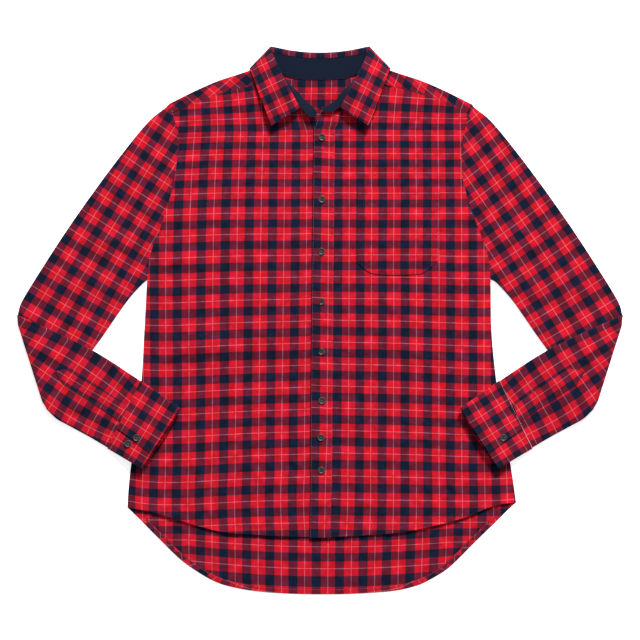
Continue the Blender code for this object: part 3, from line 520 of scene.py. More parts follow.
def flannel():
    tree = Tree("check_flannel")
    weave, parts, rib = tree.twill(YARNS)
    fuzz = tree.times(tree.minus(tree.noise(weave, 55, 2), 0.5), 0.022)
    red, line = [], []
    for axis in ("X", "Y"):
        place = tree.maths("FRACT", tree.plus(tree.plus(parts[axis], fuzz), 0.5))
        away = tree.maths("ABSOLUTE", tree.minus(place, 0.5))
        red.append(tree.minus(1, tree.step(away, RED_SHARE, 0.012)))
        line.append(tree.minus(1, tree.step(away, LINE_SHARE, 0.007)))
    # Which yarn shows, warp or weft, along the twill's diagonal
    warp_over = tree.plus(tree.times(rib, 0.22), 0.5)
    weft_over = tree.minus(1, warp_over)
    both = tree.times(*red)
    one = tree.minus(tree.maths("MAXIMUM", *red), both)
    share = tree.plus(tree.times(red[0], warp_over), tree.times(red[1], weft_over))
    colour = tree.mix(tree.times(one, tree.times(share, 2)), NAVY, MAROON)
    colour = tree.mix(both, colour, RED)
    for which, other, over in ((line[0], red[1], warp_over), (line[1], red[0], weft_over)):
        amount = tree.times(which, tree.times(over, LINE_STRENGTH), clamp=True)
        colour = tree.mix(amount, colour, tree.mix(other, WHITE_ON_NAVY, WHITE_ON_RED))
    # Brushed, slightly uneven dye, and painted shade: soft darker and lighter blotches like the shading of
    # small rumples
    hue = tree.step(tree.noise(weave, 3.3, 3, noise_dimensions="2D"), 0.5, 0.22)
    colour = tree.mix(hue, tree.mix(1, colour, WARM, "MULTIPLY"), tree.mix(1, colour, ROSE, "MULTIPLY"))
    # The first noise darkens and lightens the colour in soft blotches, partly uneven dye and partly painted
    # shade of small rumples. The finer second noise is the nap's grain.
    depth = tree.times(tree.plus(tree.times(tree.noise(weave, 2.3, 4), 1.2), 0.38),
                       tree.plus(tree.times(tree.noise(weave, 160, 3), 0.5), 0.75))
    dyed_and_shaded = tree.node("VectorMath", [(0, colour), ("Scale", depth)], operation="SCALE").outputs[0]
    nap = tree.plus(tree.times(rib, 0.35), tree.noise(weave, 90, 5, ("Roughness", 0.7)))
    return tree.finish(("Base Color", dyed_and_shaded), ("Roughness", 0.92), ("Specular IOR Level", 0.06),
                       ("Sheen Weight", 0.10), ("Sheen Roughness", 0.45), ("Sheen Tint", (1, 0.75, 0.78, 1)),
                       tree.bump(0.35, 0.0005, nap))


def plain_twill():
    tree = Tree("navy_twill")
    weave, _, rib = tree.twill(60)
    amount = tree.plus(tree.times(rib, 0.12), tree.noise(weave, 40, 4))
    colour = tree.mix(amount, (0.0026, 0.0058, 0.0165, 1), (0.0062, 0.0115, 0.0290, 1))
    return tree.finish(("Base Color", colour), ("Roughness", 0.85), ("Specular IOR Level", 0.08),
                       ("Sheen Weight", 0.05), tree.bump(0.3, 0.0003, amount))


def mottled(name, dark, light, scale, detail, roughness):
    tree = Tree(name)
    amount = tree.noise(tree.node("TexCoord").outputs["Object"], scale, detail)
    return tree.finish(("Base Color", tree.mix(amount, (*dark, 1), (*light, 1))), ("Roughness", roughness))


def yarn(name, colour):
    return mottled(name, [0.7 * c for c in colour], colour, 900, 2, 0.7)


check_cloth, navy_cloth = flannel(), plain_twill()
button_resin = mottled("button_plastic", (0.012, 0.010, 0.012), (0.050, 0.036, 0.036), 320, 3, 0.45)
rim_resin = mottled("button_rim", (0.024, 0.019, 0.020), (0.082, 0.064, 0.064), 320, 3, 0.45)
dark_thread = yarn("dark_thread", (0.03, 0.02, 0.03))
seam_thread = yarn("seam_thread", (0.045, 0.008, 0.020))
edge_thread = yarn("edge_thread", (0.32, 0.075, 0.105))


# Meshes


def add_object(name, points, faces, uv, materials, smooth=True):
    mesh = bpy.data.meshes.new(name)
    mesh.from_pydata(np.asarray(points) * MM, [], faces)
    if uv is not None:
        mesh.uv_layers.new(name="Weave").uv.foreach_set("vector", np.asarray(uv, np.float32).ravel())
    for material in materials:
        mesh.materials.append(material)
    if smooth:
        mesh.shade_smooth()
        mesh.set_sharp_from_angle(angle=math.radians(50))
    mesh.update()
    piece = bpy.data.objects.new(name, mesh)
    bpy.context.scene.collection.objects.link(piece)
    return piece


def normalized(vectors):
    return vectors / np.maximum(np.linalg.norm(vectors, axis=-1, keepdims=True), 1e-9)


def shell(name, low, high, weave, material, closed, cells):
    """One closed shell between two grids, with rounded edges. weave gives each cell's corners their
    place in the check: an array, or (array, array, mask of the cells that take the second)."""
    rows, columns = low.shape[:2]
    if cells is None:
        cells = np.ones((rows - 1, columns if closed else columns - 1), bool)
    first, second, choice = weave if isinstance(weave, tuple) else (weave, weave, ~cells)
    low, high = low.reshape(-1, 3), high.reshape(-1, 3)
    count = len(low)
    i, j = np.nonzero(cells)
    following = (j + 1) % columns
    corners = np.stack([i * columns + j, i * columns + following, (i + 1) * columns + following,
                        (i + 1) * columns + j], axis=1)
    uv = np.where(choice[i, j][:, None, None], second.reshape(-1, 2)[corners], first.reshape(-1, 2)[corners])
    diagonals = high[corners[:, 2]] - high[corners[:, 0]], high[corners[:, 3]] - high[corners[:, 1]]
    turn = np.sum(np.cross(*diagonals) * (high - low)[corners[:, 0]]) < 0
    order = [3, 2, 1, 0] if turn else [0, 1, 2, 3]
    faces = [corners[:, order] + count, corners[:, order[::-1]]]
    uvs = [uv[:, order], uv[:, order[::-1]]]
    ends = np.concatenate([corners[:, [k, (k + 1) % 4]] for k in range(4)])
    end_uv = np.concatenate([uv[:, [k, (k + 1) % 4]] for k in range(4)])
    key = np.sort(ends, axis=1).astype(np.int64) @ [count, 1]
    _, where, times = np.unique(key, return_index=True, return_counts=True)
    (a, b), edge_uv = ends[where[times == 1]].T, end_uv[where[times == 1]]
    middle = (low + high) / 2
    out = normalized(np.cross(middle[b] - middle[a], ((high - low)[a] + (high - low)[b]) / 2))
    total = np.zeros((count, 3))
    np.add.at(total, a, out)
    np.add.at(total, b, out)
    for wall in ([b, a, a + 2 * count, b + 2 * count], [b + 2 * count, a + 2 * count, a + count, b + count]):
        wall, wall_uv = np.stack(wall, axis=1), edge_uv[:, [1, 0, 0, 1]]
        faces.append(wall[:, ::-1] if turn else wall)
        uvs.append(wall_uv[:, ::-1] if turn else wall_uv)
    points, faces = np.vstack([low, high, middle + normalized(total) * RIM]), np.vstack(faces)
    used, index = np.unique(faces, return_inverse=True)
    return add_object(name, points[used], index.reshape(faces.shape).tolist(),
                      np.vstack([u.reshape(-1, 2) for u in uvs]), [material])


def sheet(node, low, high, weave, material=check_cloth,
          closed=False, cells=None, sewn=(), thread=seam_thread):
    """A piece of cloth that rides on the root and stands for its CAD node. sewn is the lines of stitches on
    it. cut is its flat width and length in metres, measured the grid that its area is taken from, and sewn
    the lines of stitches on it."""
    piece = shell(node + "_cloth", low, high, weave, material, closed, cells)
    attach(piece, "root")
    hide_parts(node)
    if sewn:
        rows = [row for path in sewn for row in dashes(path)]
        stitches(node + "_stitches", rows, thread, STITCH_RADIUS, 0.10)


def dashes(path):
    """Start and end of each stitch along a path on the cloth's upper face."""
    starts = np.arange(0.6, lengths(path)[-1] - STITCH, STITCH + STITCH_GAP)
    return list(zip(along_line(path, starts), along_line(path, starts + STITCH)))


def inset(grid, edge, distance):
    """The line that runs a distance inside one edge of a grid: first or last row, first or last column."""
    if edge.startswith("last"):
        grid = grid[::-1] if edge == "last_row" else grid[:, ::-1]
    lines = grid.swapaxes(0, 1) if edge.endswith("row") else grid
    return np.array([along_line(line, distance) for line in lines])


def normals_of(grid):
    return normalized(np.cross(np.gradient(grid, axis=0), np.gradient(grid, axis=1)))


def patch(bottom, top, left, right):
    """Plan points between four edge curves: left and right run from bottom to top."""
    u = np.linspace(0, 1, len(bottom))[None, :, None]
    v = np.linspace(0, 1, len(left))[:, None, None]
    between = (1 - v) * bottom[None] + v * top[None] + (1 - u) * left[:, None] + u * right[:, None]
    corners = (1 - v) * ((1 - u) * bottom[0] + u * bottom[-1]) + v * ((1 - u) * top[0] + u * top[-1])
    return between - corners


def prism(first, rings, sides):
    """Faces of a closed tube of rings of points, from the point numbered first."""
    rows = [[first + ring * sides + k for k in range(sides)] for ring in range(rings)]
    faces = [(a, b, b + sides, a + sides) for row in rows[:-1] for a, b in zip(row, row[1:] + row[:1])]
    return faces + [rows[0][::-1], rows[-1]]


def stitches(name, rows, material, radius, lift):
    """Short arched threads, as one mesh. Each row: start and end points."""
    points, faces, up = [], [], np.array([0, 0, 1])
    for start, end in rows:
        start, way = np.array(start, float), np.subtract(end, start)
        across = normalized(np.cross(way, up))
        faces += prism(len(points), 4, 6)
        for share, rise, thick in ((0, 0, 0.5), (0.2, 0.8, 1), (0.8, 0.8, 1), (1, 0, 0.5)):
            for angle in np.arange(6) * math.pi / 3:
                points.append(start + way * share + up * rise * lift
                              + (across * math.cos(angle) + up * math.sin(angle) * 0.8) * radius * thick)
    piece = add_object(name, points, faces, None, [material])
    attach(piece, "root")
    return piece


# The body


def laid(node, plan, low, region, seams=(), thread=seam_thread):
    """A laid panel. seams are its lines of stitches: an edge and how far inside it they run."""
    bottom = np.dstack([plan, low(*xy(plan))])
    top = bottom + [0, 0, CLOTH]
    sewn = [inset(top, *seam) for seam in seams]
    sheet(node, bottom, top, check(region, plan), sewn=sewn, thread=thread)


def panel_side(column, last):
    lower = [(row[column], row[0]) for row in SIDE_SEAM[column - 1 : -1]]
    return np.array(lower + [(row[column], row[0]) for row in ARMHOLE[:last]])


def back_panel():
    rows, columns = 130, 104
    left, right = panel_side(1, 7), panel_side(2, 7)
    left[-1, 1] -= SEAM
    right[-1, 1] -= SEAM
    plan = patch(spread(through(BACK_HEM), columns), spread([left[-1], right[-1]], columns),
                 spread(through(left), rows), spread(through(right), rows))
    laid("back", plan, lambda x, y: np.zeros_like(x), "back")


def hem_strip():
    edge = through(BACK_HEM)
    edge = spread(edge[np.abs(edge[:, 0]) < HEM_END], 200)
    along = np.gradient(edge, axis=0)
    inward = normalized(np.stack([-along[:, 1], along[:, 0]], axis=1))[:, None]
    reach = np.linspace(0.8, HEM_TURN - 1.4, 6)[None, :, None]
    bottom = np.insert(edge[:, None] + inward * reach, 2, CLOTH + SEAM, axis=2)
    top = bottom + [0, 0, CLOTH]
    weave = check("back", edge[:, None] - inward * reach)
    sheet("hem_back", bottom, top, weave,
          sewn=[inset(top, "last_column", 1.2)], thread=edge_thread)


def yoke():
    shoulder, middle = 48, 34
    fold, seam = [spread(through(line), shoulder) for line in (SHOULDER_FOLD, YOKE_FRONT_SEAM)]
    neck = spread(through(BACK_NECK + tuple((-x, y) for x, y in BACK_NECK[-2::-1])), middle + 1)
    mirror = np.array([-1, 1])
    upper = np.vstack([fold[:-1] * mirror, neck * mirror, fold[-2::-1]])
    count = len(upper)
    back_x = np.interp(np.arange(count), [0, shoulder - 1, count - shoulder, count - 1],
                       [ARMHOLE[6][1], -90, 90, ARMHOLE[6][2]])
    back = np.stack([back_x, np.full(count, YOKE_SEAM_Y)], axis=1)
    tips, (upper[0], upper[-1]) = [[(row[1], row[0]), (row[2], row[0])] for row in ARMHOLE[7:]]
    shares, over = np.linspace(0, 1, 24)[:, None, None], np.linspace(0, 1, 6)
    flat = back + (upper - back) * shares
    for edge, column in ((0, 1), (-1, 2)):
        flat[:, edge, 0] = side_x(flat[:, edge, 1], column, ARMHOLE)
    bends = np.radians(np.arange(1, 8) * 22.5)
    first_over = len(flat) + len(bends)
    low = np.zeros((first_over + len(over), count, 3))
    high = low.copy()
    for k in range(count):
        side = -1 if k < count / 2 else 1
        place = min(k, count - 1 - k)
        end = seam[min(place, shoulder - 1)] * [side, 1] if place else tips[k > 0]
        near, far = upper[max(k - 1, 0)], upper[min(k + 1, count - 1)]
        if place == shoulder - 1:
            near, far = (near, upper[k]) if side < 0 else (upper[k], far)
        outward = normalized(np.array([near[1] - far[1], far[0] - near[0]]))
        lift = neck_lift(*xy(flat[:, k]))
        for grid, height in ((low, 0), (high, CLOTH)):
            grid[: len(flat), k] = np.column_stack([flat[:, k], lift + height])
            if place >= shoulder:
                continue
            radius = TUBE / 2 - height
            for row, angle in enumerate(bends, len(flat)):
                plan = upper[k] + outward * radius * math.sin(angle)
                grid[row, k] = (*plan, lift[-1] + TUBE / 2 - radius * math.cos(angle))
            for row, share in enumerate(over, first_over):
                plan = upper[k] + (end - upper[k]) * share
                grid[row, k] = (*plan, neck_lift(*plan) + TUBE - height)
    cells = np.ones((len(low) - 1, count - 1), bool)
    cells[len(flat) - 1 :, shoulder - 1 : count - shoulder] = False
    strip = np.where(low[..., :1] < 0, check("yoke_right", low), check("yoke_left", low))
    choice = np.zeros(cells.shape, bool)
    choice[len(flat) + 3 :] = True
    front_strip = low[len(flat) + 3 :]
    sewn = [inset(part, "last_row", 1.8) for part in (front_strip[:, :shoulder], front_strip[:, -shoulder:])]
    weave, measured = (check("neck", low), strip, choice), (low + high)[: len(flat)] / 2
    sheet("yoke", low, high, weave, cells=cells,
          sewn=sewn)


def front(node, column, sign, centre_edge, low):
    outer = panel_side(column, 8)
    neck = np.array(FRONT_NECK_RIGHT if sign < 0 else FRONT_NECK_LEFT) * [sign, 1]
    seam = np.array(YOKE_FRONT_SEAM) * [sign, 1]
    seam[0] = outer[-1]
    seam[:, 1] -= YOKE_GAP
    outer[-1, 1] -= YOKE_GAP
    inner = spread(np.vstack([centre_edge, through(neck[::-1])[1:]]), FRONT_ROWS)
    inner[-1] = seam[-1]
    hem = through(FRONT_HEM)
    start, end = sorted((outer[0, 0], inner[0, 0]))
    hem = hem[(hem[:, 0] > start + 1) & (hem[:, 0] < end - 1)][::-sign]
    hem = spread(np.vstack([outer[0], hem, inner[0]]), FRONT_COLUMNS)
    plan = patch(hem, spread(through(seam), FRONT_COLUMNS), spread(through(outer), FRONT_ROWS), inner)
    laid(node, plan, low, node, (("first_row", HEM_STITCHES),))


def fronts():
    over = through(PLACKET_EDGE)
    lap = over[over[:, 1] < 318] + [UNDERLAP, 0]
    for edge in (lap, over):
        edge[0, 1] = np.interp(edge[0, 0], *through(FRONT_HEM).T)
    front("front_right", 1, -1, np.vstack([lap, [14, 322], [-5, 331.5]]), under_front_low)
    front("front_left", 2, 1, over, left_front_low)


def over_front(x, y):
    return left_front_low(x, y) + CLOTH + SEAM


def over_placket(x, y):
    """The placket draws up a little between its two lines of stitches."""
    across = (x - placket_x(y)) / PLACKET_WIDTH
    ripple = (0.20 * np.sin(y / 1.55 + np.sin(y / 13)) * hump(across, 0.10)
              + 0.17 * np.sin(y / 1.7 + 1) * hump(across - 1, 0.12))
    return over_front(x, y) + 0.45 * np.sin(np.clip(across, 0, 1) * math.pi) ** 0.7 + ripple


def placket():
    y = np.linspace(-347, 334, 330)[:, None] + np.zeros(12)
    x = placket_x(y[:, :1]) + PLACKET_WIDTH * np.linspace(0, 1, 12)
    laid("placket_band", np.dstack([x, y]), over_placket, "placket",
         (("first_column", 0.9), ("last_column", 0.9)), edge_thread)


def over_pocket(x, y):
    """The pocket's middle and its open top stand a little off the front."""
    inside = np.minimum(x - POCKET_LEFT[0][0], POCKET_RIGHT[1][0] - x)
    return over_front(x, y) + 0.5 * ease(inside / 22) * ease((y - 76) / 24)


def pocket():
    left, right = spread(POCKET_LEFT, 44), spread(POCKET_RIGHT, 44)
    plan = patch(spread(through(POCKET_BOTTOM), 42), spread([left[-1], right[-1]], 42), left, right)
    seams = (("first_column", 1.0), ("first_column", 9.4), ("last_column", 1.0), ("last_column", 8.6),
             ("first_row", 1.0))
    laid("chest_pocket", plan, over_pocket, "pocket", seams)


# The collar


def collar_curves():
    """The neck seam, crest and free edge of the leaf from end to end, and how far it is rolled flat."""
    half = np.array(COLLAR, float)
    rows = np.vstack([half, half[-2::-1]])
    rows[:, [0, 3, 6]] *= np.sign(np.arange(len(rows)) - len(half) + 1)[:, None]
    dense = through(rows, steps=8)
    roll = dense[:, 9:]
    return dense[:, 0:3], dense[:, 3:6], dense[:, 6:9], roll, ease((roll - 1) / 0.7)


def toward(start, end, distance):
    return start + normalized(end - start) * distance


def leveled(points, flat, height):
    """The points, brought to a height where the collar is flat."""
    points[:, 2:] = points[:, 2:] * (1 - flat) + height * flat
    return points


def collar_leaf():
    neck, crest, edge, roll, flat = collar_curves()
    edge[:, 2:] += LEAF_CURL * (1 - flat) * ease((395 - edge[:, 1:2]) / 60)
    reach = ROLL_AT_FRONT + (ROLL_AT_BACK + 1.6 - ROLL_AT_FRONT) * flat
    start = leveled(toward(crest, neck, reach), flat, crest[:, 2:] + roll)
    shoulder = toward(crest, neck, reach * 0.35) + [0, 0, 0.75] * roll
    after = leveled(toward(crest, edge, 3), flat, crest[:, 2:] - roll)
    middle = (after + edge) / 2
    middle[:, 2:] += 1.4 * (1 - flat)
    stations = np.stack([start, shoulder, crest, after, middle, edge], axis=1)
    grid = np.array([spread(through(row, 8), 26) for row in stations])
    half = normals_of(grid) * COLLAR_PLY / 2
    half *= np.sign(half[4, 20, 2])
    low, high = [np.maximum(side, [-np.inf, -np.inf, 0]) for side in (grid - half, grid + half)]
    # Across the leaf the check follows the front in the picture; behind the neck it runs on from the fold
    across = np.array([lengths(row) for row in grid])
    fold = np.linalg.norm(start - shoulder, axis=1) + np.linalg.norm(shoulder - crest, axis=1) + LEAF_FOLD
    fold = fold + 3.2 * (crest[:, 0] < 0) * ease((crest[:, 1] - 398) / 12)
    place = np.array([along_line(row, np.maximum(a, f)) for row, a, f in zip(grid, across, fold)])
    left = check("leaf_left", place) * [1, -1] - [0, LEAF_MEETS]
    front = np.where(place[..., :1] < 0, check("leaf_right", place), left)
    round_neck = LEAF_BACK_PLACE - crest[:, :1] / LEAF_REPEAT
    behind = np.dstack(np.broadcast_arrays(0.68 - across / REPEAT, round_neck))
    weave = front * (1 - flat[:, None]) + behind * flat[:, None]
    sewn = [inset(part, "last_column", 5.0) for part in (high[:44], high[-44:])]
    sewn += [inset(high, edge, 4.6)[5:] for edge in ("first_row", "last_row")]
    sheet("collar_leaf", low, high, weave, sewn=sewn)


def collar_stand():
    neck, crest, _, _, flat = collar_curves()
    top = toward(crest, neck, ROLL_AT_FRONT + (ROLL_AT_BACK - ROLL_AT_FRONT) * flat + 0.5)
    top = leveled(top, flat, neck[:, 2:])
    first, last = through(STAND_END_RIGHT, 8)[:-1], through(STAND_END_LEFT, 8)[-2::-1]
    neck = np.vstack([first[:, :3], neck, last[:, :3]])[:, None]
    top = np.vstack([first[:, 3:], top, last[:, 3:]])[:, None]
    grid = neck + (top - neck) * np.linspace(0, 1, 9)[None, :, None]
    inward = normals_of(grid)
    inward = inward * np.sign(inward[len(grid) // 2, 4, 2])
    half = inward * CLOTH / 2
    along = lengths(grid[:, 4]) / REPEAT
    weave = np.stack(np.meshgrid(along, np.linspace(0, 0.9, 9), indexing="ij"), axis=-1)
    sheet("collar_stand", grid - half, grid + half, weave)
    grid = grid + inward * (CLOTH + SEAM)
    sheet("collar_stand_lining", grid - half, grid + half, weave,
          navy_cloth)


# Sleeves and cuffs


def sleeve_sections(armhole):
    """The sleeve's sections from the armhole to the cuff. Each: the line across it, the way out at either
    end of that line, and what it lies on, or the way, axis and angle of the fold at the elbow."""
    shares = (lengths(armhole) / lengths(armhole)[-1])[:, None]
    bow = armhole - armhole[0] - (armhole[-1] - armhole[0]) * shares
    start = armhole - [0.45, 0]
    sections = [(start, normalized(start[0] - start[1]), normalized(start[-1] - start[-2]), "floor")]

    def add(out_end, in_end, bow, inset, placing):
        across = normalized(in_end - out_end)
        line = out_end + across * inset + (in_end - out_end - 2 * across * inset) * shares + bow
        sections.append((line, -across, across, placing))

    ends = [spread(through(edge), UPPER_SECTIONS) for edge in (SLEEVE_OUTER, SLEEVE_INNER)]
    for j in range(1, UPPER_SECTIONS):
        fade = max(0, 1 - j / (UPPER_SECTIONS * 0.7)) ** 1.5
        add(ends[0][j], ends[1][j], bow * fade, TUBE / 2 * min(1, j / 3), "floor")
    fold = sections[-1][:3]
    outward = np.array([fold[2][1], -fold[2][0]])
    for angle in np.radians(np.arange(1, 9) * 22.5):
        sections.append((*fold, (outward, (FOREARM_LOW + TUBE) / 2, angle)))
    ends = [spread(through(edge), FOREARM_SECTIONS) for edge in (FOREARM_OUTER, FOREARM_INNER)]
    for out_end, in_end in zip(ends[0][1:], ends[1][1:]):
        add(out_end, in_end, 0, TUBE / 2, "forearm")
    return sections


def sleeve_crease(x, y, on_top=True):
    """The upper arm is calm where the forearm lies on it."""
    under_arm = 0 if on_top else ease((np.interp(x, *np.transpose(FOREARM_OUTER)) + 12 - y) / 14)
    return relief(x, y, SLEEVE_CREASES, under_arm)


def place_ring(section, wall):
    """The points round one section of the sleeve, on its outer face or, a wall in, on its inner one."""
    line, near, far, placing = section
    radius = TUBE / 2 - wall

    def side(end, way, angles):
        return [(*(end + way * radius * math.cos(a)), TUBE / 2 + radius * math.sin(a)) for a in angles]

    under = [(*point, wall) for point in line] + side(line[-1], far, SIDE_ANGLES)
    over = [(*point, TUBE - wall) for point in line[::-1]] + side(line[0], near, SIDE_ANGLES[::-1])
    ring = np.array(under + over)
    if placing == "forearm":
        ring[:, 2] = forearm_low(*xy(ring)) + TUBE - ring[:, 2]
    elif placing != "floor":
        outward, axis, angle = placing
        above = axis - ring[:, 2]
        full = np.full(RING + 5, 0.25)
        full[:RING] += 0.75 * ease(MIDDLE / 0.10)
        ring[:, :2] += outward * (above * np.tile(full, 2) * math.sin(angle))[:, None]
        ring[:, 2] = axis - above * math.cos(angle)
    return ring


def sleeve(side, column, sign):
    armhole = spread(through([(row[column] * -sign, row[0]) for row in ARMHOLE[::-1]]), RING)
    sections = sleeve_sections(armhole)
    outside, inside = [np.array([place_ring(section, wall) for section in sections]) for wall in (0, CLOTH)]
    bend = UPPER_SECTIONS + 4
    # The upper layer of each part rises and falls a little, and both walls move together
    for i, ring in enumerate(outside):
        shape = np.zeros(len(ring))
        first = RING + 5 if i < bend else 0
        shape[first : first + RING] = ease(MIDDLE / 0.12)
        along = ease(i / 6) * ease(abs(i - bend) / 10) * ease((len(sections) - 1 - i) / 6)
        lift = sleeve_crease(*xy(ring), i >= bend) * shape * along
        ring[:, 2] += lift
        inside[i, :, 2] += lift
    outside, inside = outside * [-sign, 1, 1], inside * [-sign, 1, 1]
    upper = check(f"upper_{side}", outside)
    way = np.linspace(0, 1, RING)
    held = np.maximum(np.concatenate([way, np.ones(5), way[::-1], np.zeros(5)]), FOREARM_EDGE)
    place = np.dstack([[np.interp(held, way, row[:RING]) for row in grid] for grid in xy(outside)])
    choice = np.zeros((len(sections) - 1, outside.shape[1]), bool)
    choice[bend - 1 :] = True
    sheet(f"sleeve_{side}", inside, outside, (upper, check(f"forearm_{side}", place), choice),
          closed=True)


def gauntlet(side, sign):
    """The sleeve placket: a strip on the forearm with a pointed end."""
    upper, lower = np.array(GAUNTLET_UPPER_EDGE), np.array(GAUNTLET_LOWER_EDGE)
    shares = np.linspace(0, 1, 11)[:, None]
    end, cuff_end = [upper[k] + (lower[k] - upper[k]) * shares for k in (0, 1)]
    end += (np.array(GAUNTLET_POINT) - (upper[0] + lower[0]) / 2) * (1 - np.abs(2 * shares - 1))
    plan = end + (cuff_end - end) * np.linspace(0, 1, 56)[:, None, None]
    level = forearm_low(*xy(plan)) + TUBE + sleeve_crease(*xy(plan)) + GAUNTLET_GAP
    grid = np.dstack([plan, level]) * [-sign, 1, 1]
    top = grid + [0, 0, CLOTH]
    sewn = [inset(top, edge, 1.6) for edge in ("first_column", "last_column", "first_row")]
    node = f"gauntlet_{side}"
    sheet(node, grid, top, check(node, grid), sewn=sewn)


def cuff_path(width):
    """The cuff's section, from its under lap's end round to its lap's end: place across and height."""
    under, base = CUFF_UNDERLAP_MIDDLE, CUFF_PLY / 2
    radius, middle = (under - base) / 2, (under + base) / 2
    far = width - radius
    path = [(w, under) for w in np.linspace(CUFF_UNDERLAP_END, far, 16)]
    path += [(far + radius * math.cos(a), middle + radius * math.sin(a)) for a in SIDE_ANGLES[::-1]]
    path += [(w, base) for w in np.linspace(far, radius, 20)]
    path += [(radius - radius * math.cos(a), middle + radius * math.sin(a)) for a in SIDE_ANGLES]
    path += [(w, under + (CUFF_LAP_MIDDLE - under) * ease((w - 40) / 14))
             for w in np.linspace(radius, CUFF_LAP_END, 28)]
    return np.array(path)


def cuff_lift(x, y):
    """How far the cuff's upper layer stands up here."""
    start, end = (np.array(CUFF_OUTER) + np.array(CUFF_INNER)) / 2
    way = end - start
    return (CUFF_LIFT + CUFF_MOUTH) * float(ease((np.array([x, y]) - start) @ way / (way @ way)))


def cuff(side, sign):
    ends = np.array([CUFF_OUTER, CUFF_INNER])
    low, high = [], []
    for along in np.linspace(0, 1, 24):
        out_end, in_end = ends[:, 0] * (1 - along) + ends[:, 1] * along
        width = np.linalg.norm(in_end - out_end)
        path = cuff_path(width)
        tangent = normalized(np.gradient(path, axis=0))
        normal = np.stack([-tangent[:, 1], tangent[:, 0]], axis=1)
        bulge = np.sin(np.clip(path[:, 0] / width, 0, 1) * math.pi)
        slip = CUFF_SLIP * bulge * (path[:, 1] < CUFF_PLY) * along**6
        share = np.clip((path[:, 1] - CUFF_PLY / 2) / (CUFF_UNDERLAP_MIDDLE - CUFF_PLY / 2), 0, 1)
        lift = (CUFF_LIFT + CUFF_MOUTH * share) * ease(along)
        for rows, offset in ((low, -CUFF_PLY / 2), (high, CUFF_PLY / 2)):
            w, level = (path + normal * offset).T[..., None]
            past = (along + slip / CUFF_DEPTH)[:, None]
            out_end, in_end = ends[:, :1] * (1 - past) + ends[:, 1:] * past
            point = toward(out_end, in_end, w)
            level = forearm_low(*xy(point)) + level[:, 0] + lift
            rows.append(np.column_stack([point * [-sign, 1], level]))
    low, high = np.array(low), np.array(high)
    weave = check(f"cuff_{side}", np.concatenate([low[1:2], low[1:]]))
    lap, under_lap = high[:, -28:], high[:, :14]
    sewn = [inset(lap, "last_row", 3.6), inset(lap, "first_row", 1.8), inset(lap, "last_column", 3.6),
            inset(under_lap, "last_row", 3.6), inset(under_lap, "first_row", 1.8)]
    sheet(f"cuff_{side}", low, high, weave, sewn=sewn)


# Buttons


def rings(x, y, profile, sides):
    """Points of a turned form. Each row of the profile: radius and height."""
    return [(x + reach * math.cos(angle), y + reach * math.sin(angle), level)
            for reach, level in profile for angle in np.arange(sides) * 2 * math.pi / sides]


def button(node, x, y, low):
    """A four-hole button with a sunk middle, a rolled rim and two bars of thread between its holes."""
    points = rings(x, y, [(reach, low + level) for reach, level in BUTTON], BUTTON_SIDES)
    faces = prism(0, len(BUTTON), BUTTON_SIDES)
    piece = add_object(node + "_resin", points, faces, None, [button_resin, rim_resin])
    for face in piece.data.polygons[4 * BUTTON_SIDES : 8 * BUTTON_SIDES]:
        face.material_index = 1
    points, faces = [], []
    for sx in (-1, 1):
        for sy in (-1, 1):
            faces += prism(len(points), 2, 16)
            points += rings(x + sx * HOLE_PLACE, y + sy * HOLE_PLACE, [(0.8, low - 1), (0.8, low + 4)], 16)
    cutter = add_object("hole_cutter", points, faces, None, [], smooth=False)
    cut = piece.modifiers.new("holes", "BOOLEAN")
    cut.operation, cut.object, cut.solver = "DIFFERENCE", cutter, "EXACT"
    with bpy.context.temp_override(object=piece, active_object=piece):
        bpy.ops.object.modifier_apply(modifier=cut.name)
    bpy.data.objects.remove(cutter)
    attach(piece, "root")
    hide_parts(node)
    strands = [[(x + end, y + sy + shift, low + 1.2) for end in (-1.9, 1.9)]
               for sy in (-HOLE_PLACE, HOLE_PLACE) for shift in (-0.3, 0, 0.3)]
    stitches(node + "_thread", strands, dark_thread, 0.42, 0.5)


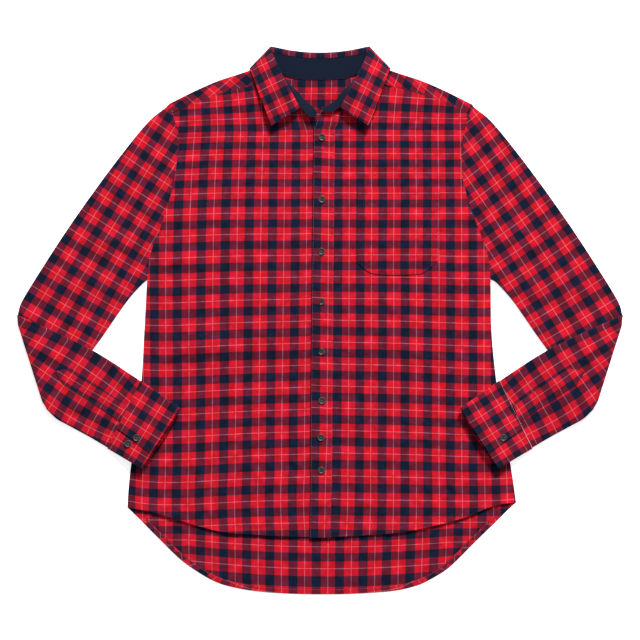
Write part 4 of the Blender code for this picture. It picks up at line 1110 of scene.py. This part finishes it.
def buttons():
    for number, (x, y) in enumerate(FRONT_BUTTONS, 1):
        button(f"front_button_{number}", x, y, float(over_front(x, y)) + CLOTH + BUTTON_GAP)
    for node, (x, y), middle in (("cuff_button_right", CUFF_BUTTON, CUFF_LAP_MIDDLE),
                                 ("cuff_button_left", CUFF_BUTTON, CUFF_LAP_MIDDLE),
                                 ("cuff_spare_button_right", CUFF_SPARE_BUTTON, CUFF_UNDERLAP_MIDDLE)):
        low = float(forearm_low(x, y)) + middle + CUFF_PLY / 2 + BUTTON_GAP + cuff_lift(x, y)
        button(node, -x if node.endswith("left") else x, y, low)


# Studio


def studio():
    scene = bpy.context.scene
    paper = Tree("floor_paper").finish(("Base Color", (0.94, 0.94, 0.94, 1)), ("Roughness", 0.9),
                                       ("Emission Color", (1, 1, 1, 1)), ("Emission Strength", FLOOR_GLOW))
    corners = [(x * FLOOR_REACH, y * FLOOR_REACH, -0.05) for x, y in ((-1, -1), (1, -1), (1, 1), (-1, 1))]
    add_object("floor", corners, [(0, 1, 2, 3)], None, [paper], smooth=False)
    for name, place, power in LAMPS:
        data = bpy.data.lights.new(name, "AREA")
        data.energy, data.size = power, LAMP_SIZE
        lamp = bpy.data.objects.new(name, data)
        lamp.location = place
        scene.collection.objects.link(lamp)
        x, y, z = place
        lamp.rotation_euler = (math.atan2(math.hypot(x, y), z), 0, math.atan2(-y, -x) - math.pi / 2)
    world = bpy.data.worlds.new("studio")
    world.use_nodes = True
    background = world.node_tree.nodes["Background"].inputs
    background["Color"].default_value = (1, 1, 1, 1)
    background["Strength"].default_value = WORLD_STRENGTH
    scene.world = world
    scene.view_settings.view_transform = "Standard"
    data = bpy.data.cameras.new("camera")
    data.lens, data.sensor_width, data.clip_end = CAMERA_LENS, SENSOR, 50
    scene.camera = bpy.data.objects.new("camera", data)
    scene.camera.location = (0, CAMERA_Y, VIEW_WIDTH * CAMERA_LENS / SENSOR + 0.004)
    scene.collection.objects.link(scene.camera)


for old in [o for o in bpy.data.objects if o.name in ("Cube", "Light", "Camera")]:
    bpy.data.objects.remove(old, do_unlink=True)
back_panel()
hem_strip()
yoke()
fronts()
placket()
pocket()
collar_leaf()
collar_stand()
for side, column, sign in (("right", 1, -1), ("left", 2, 1)):
    sleeve(side, column, sign)
    gauntlet(side, sign)
    cuff(side, sign)
buttons()
studio()
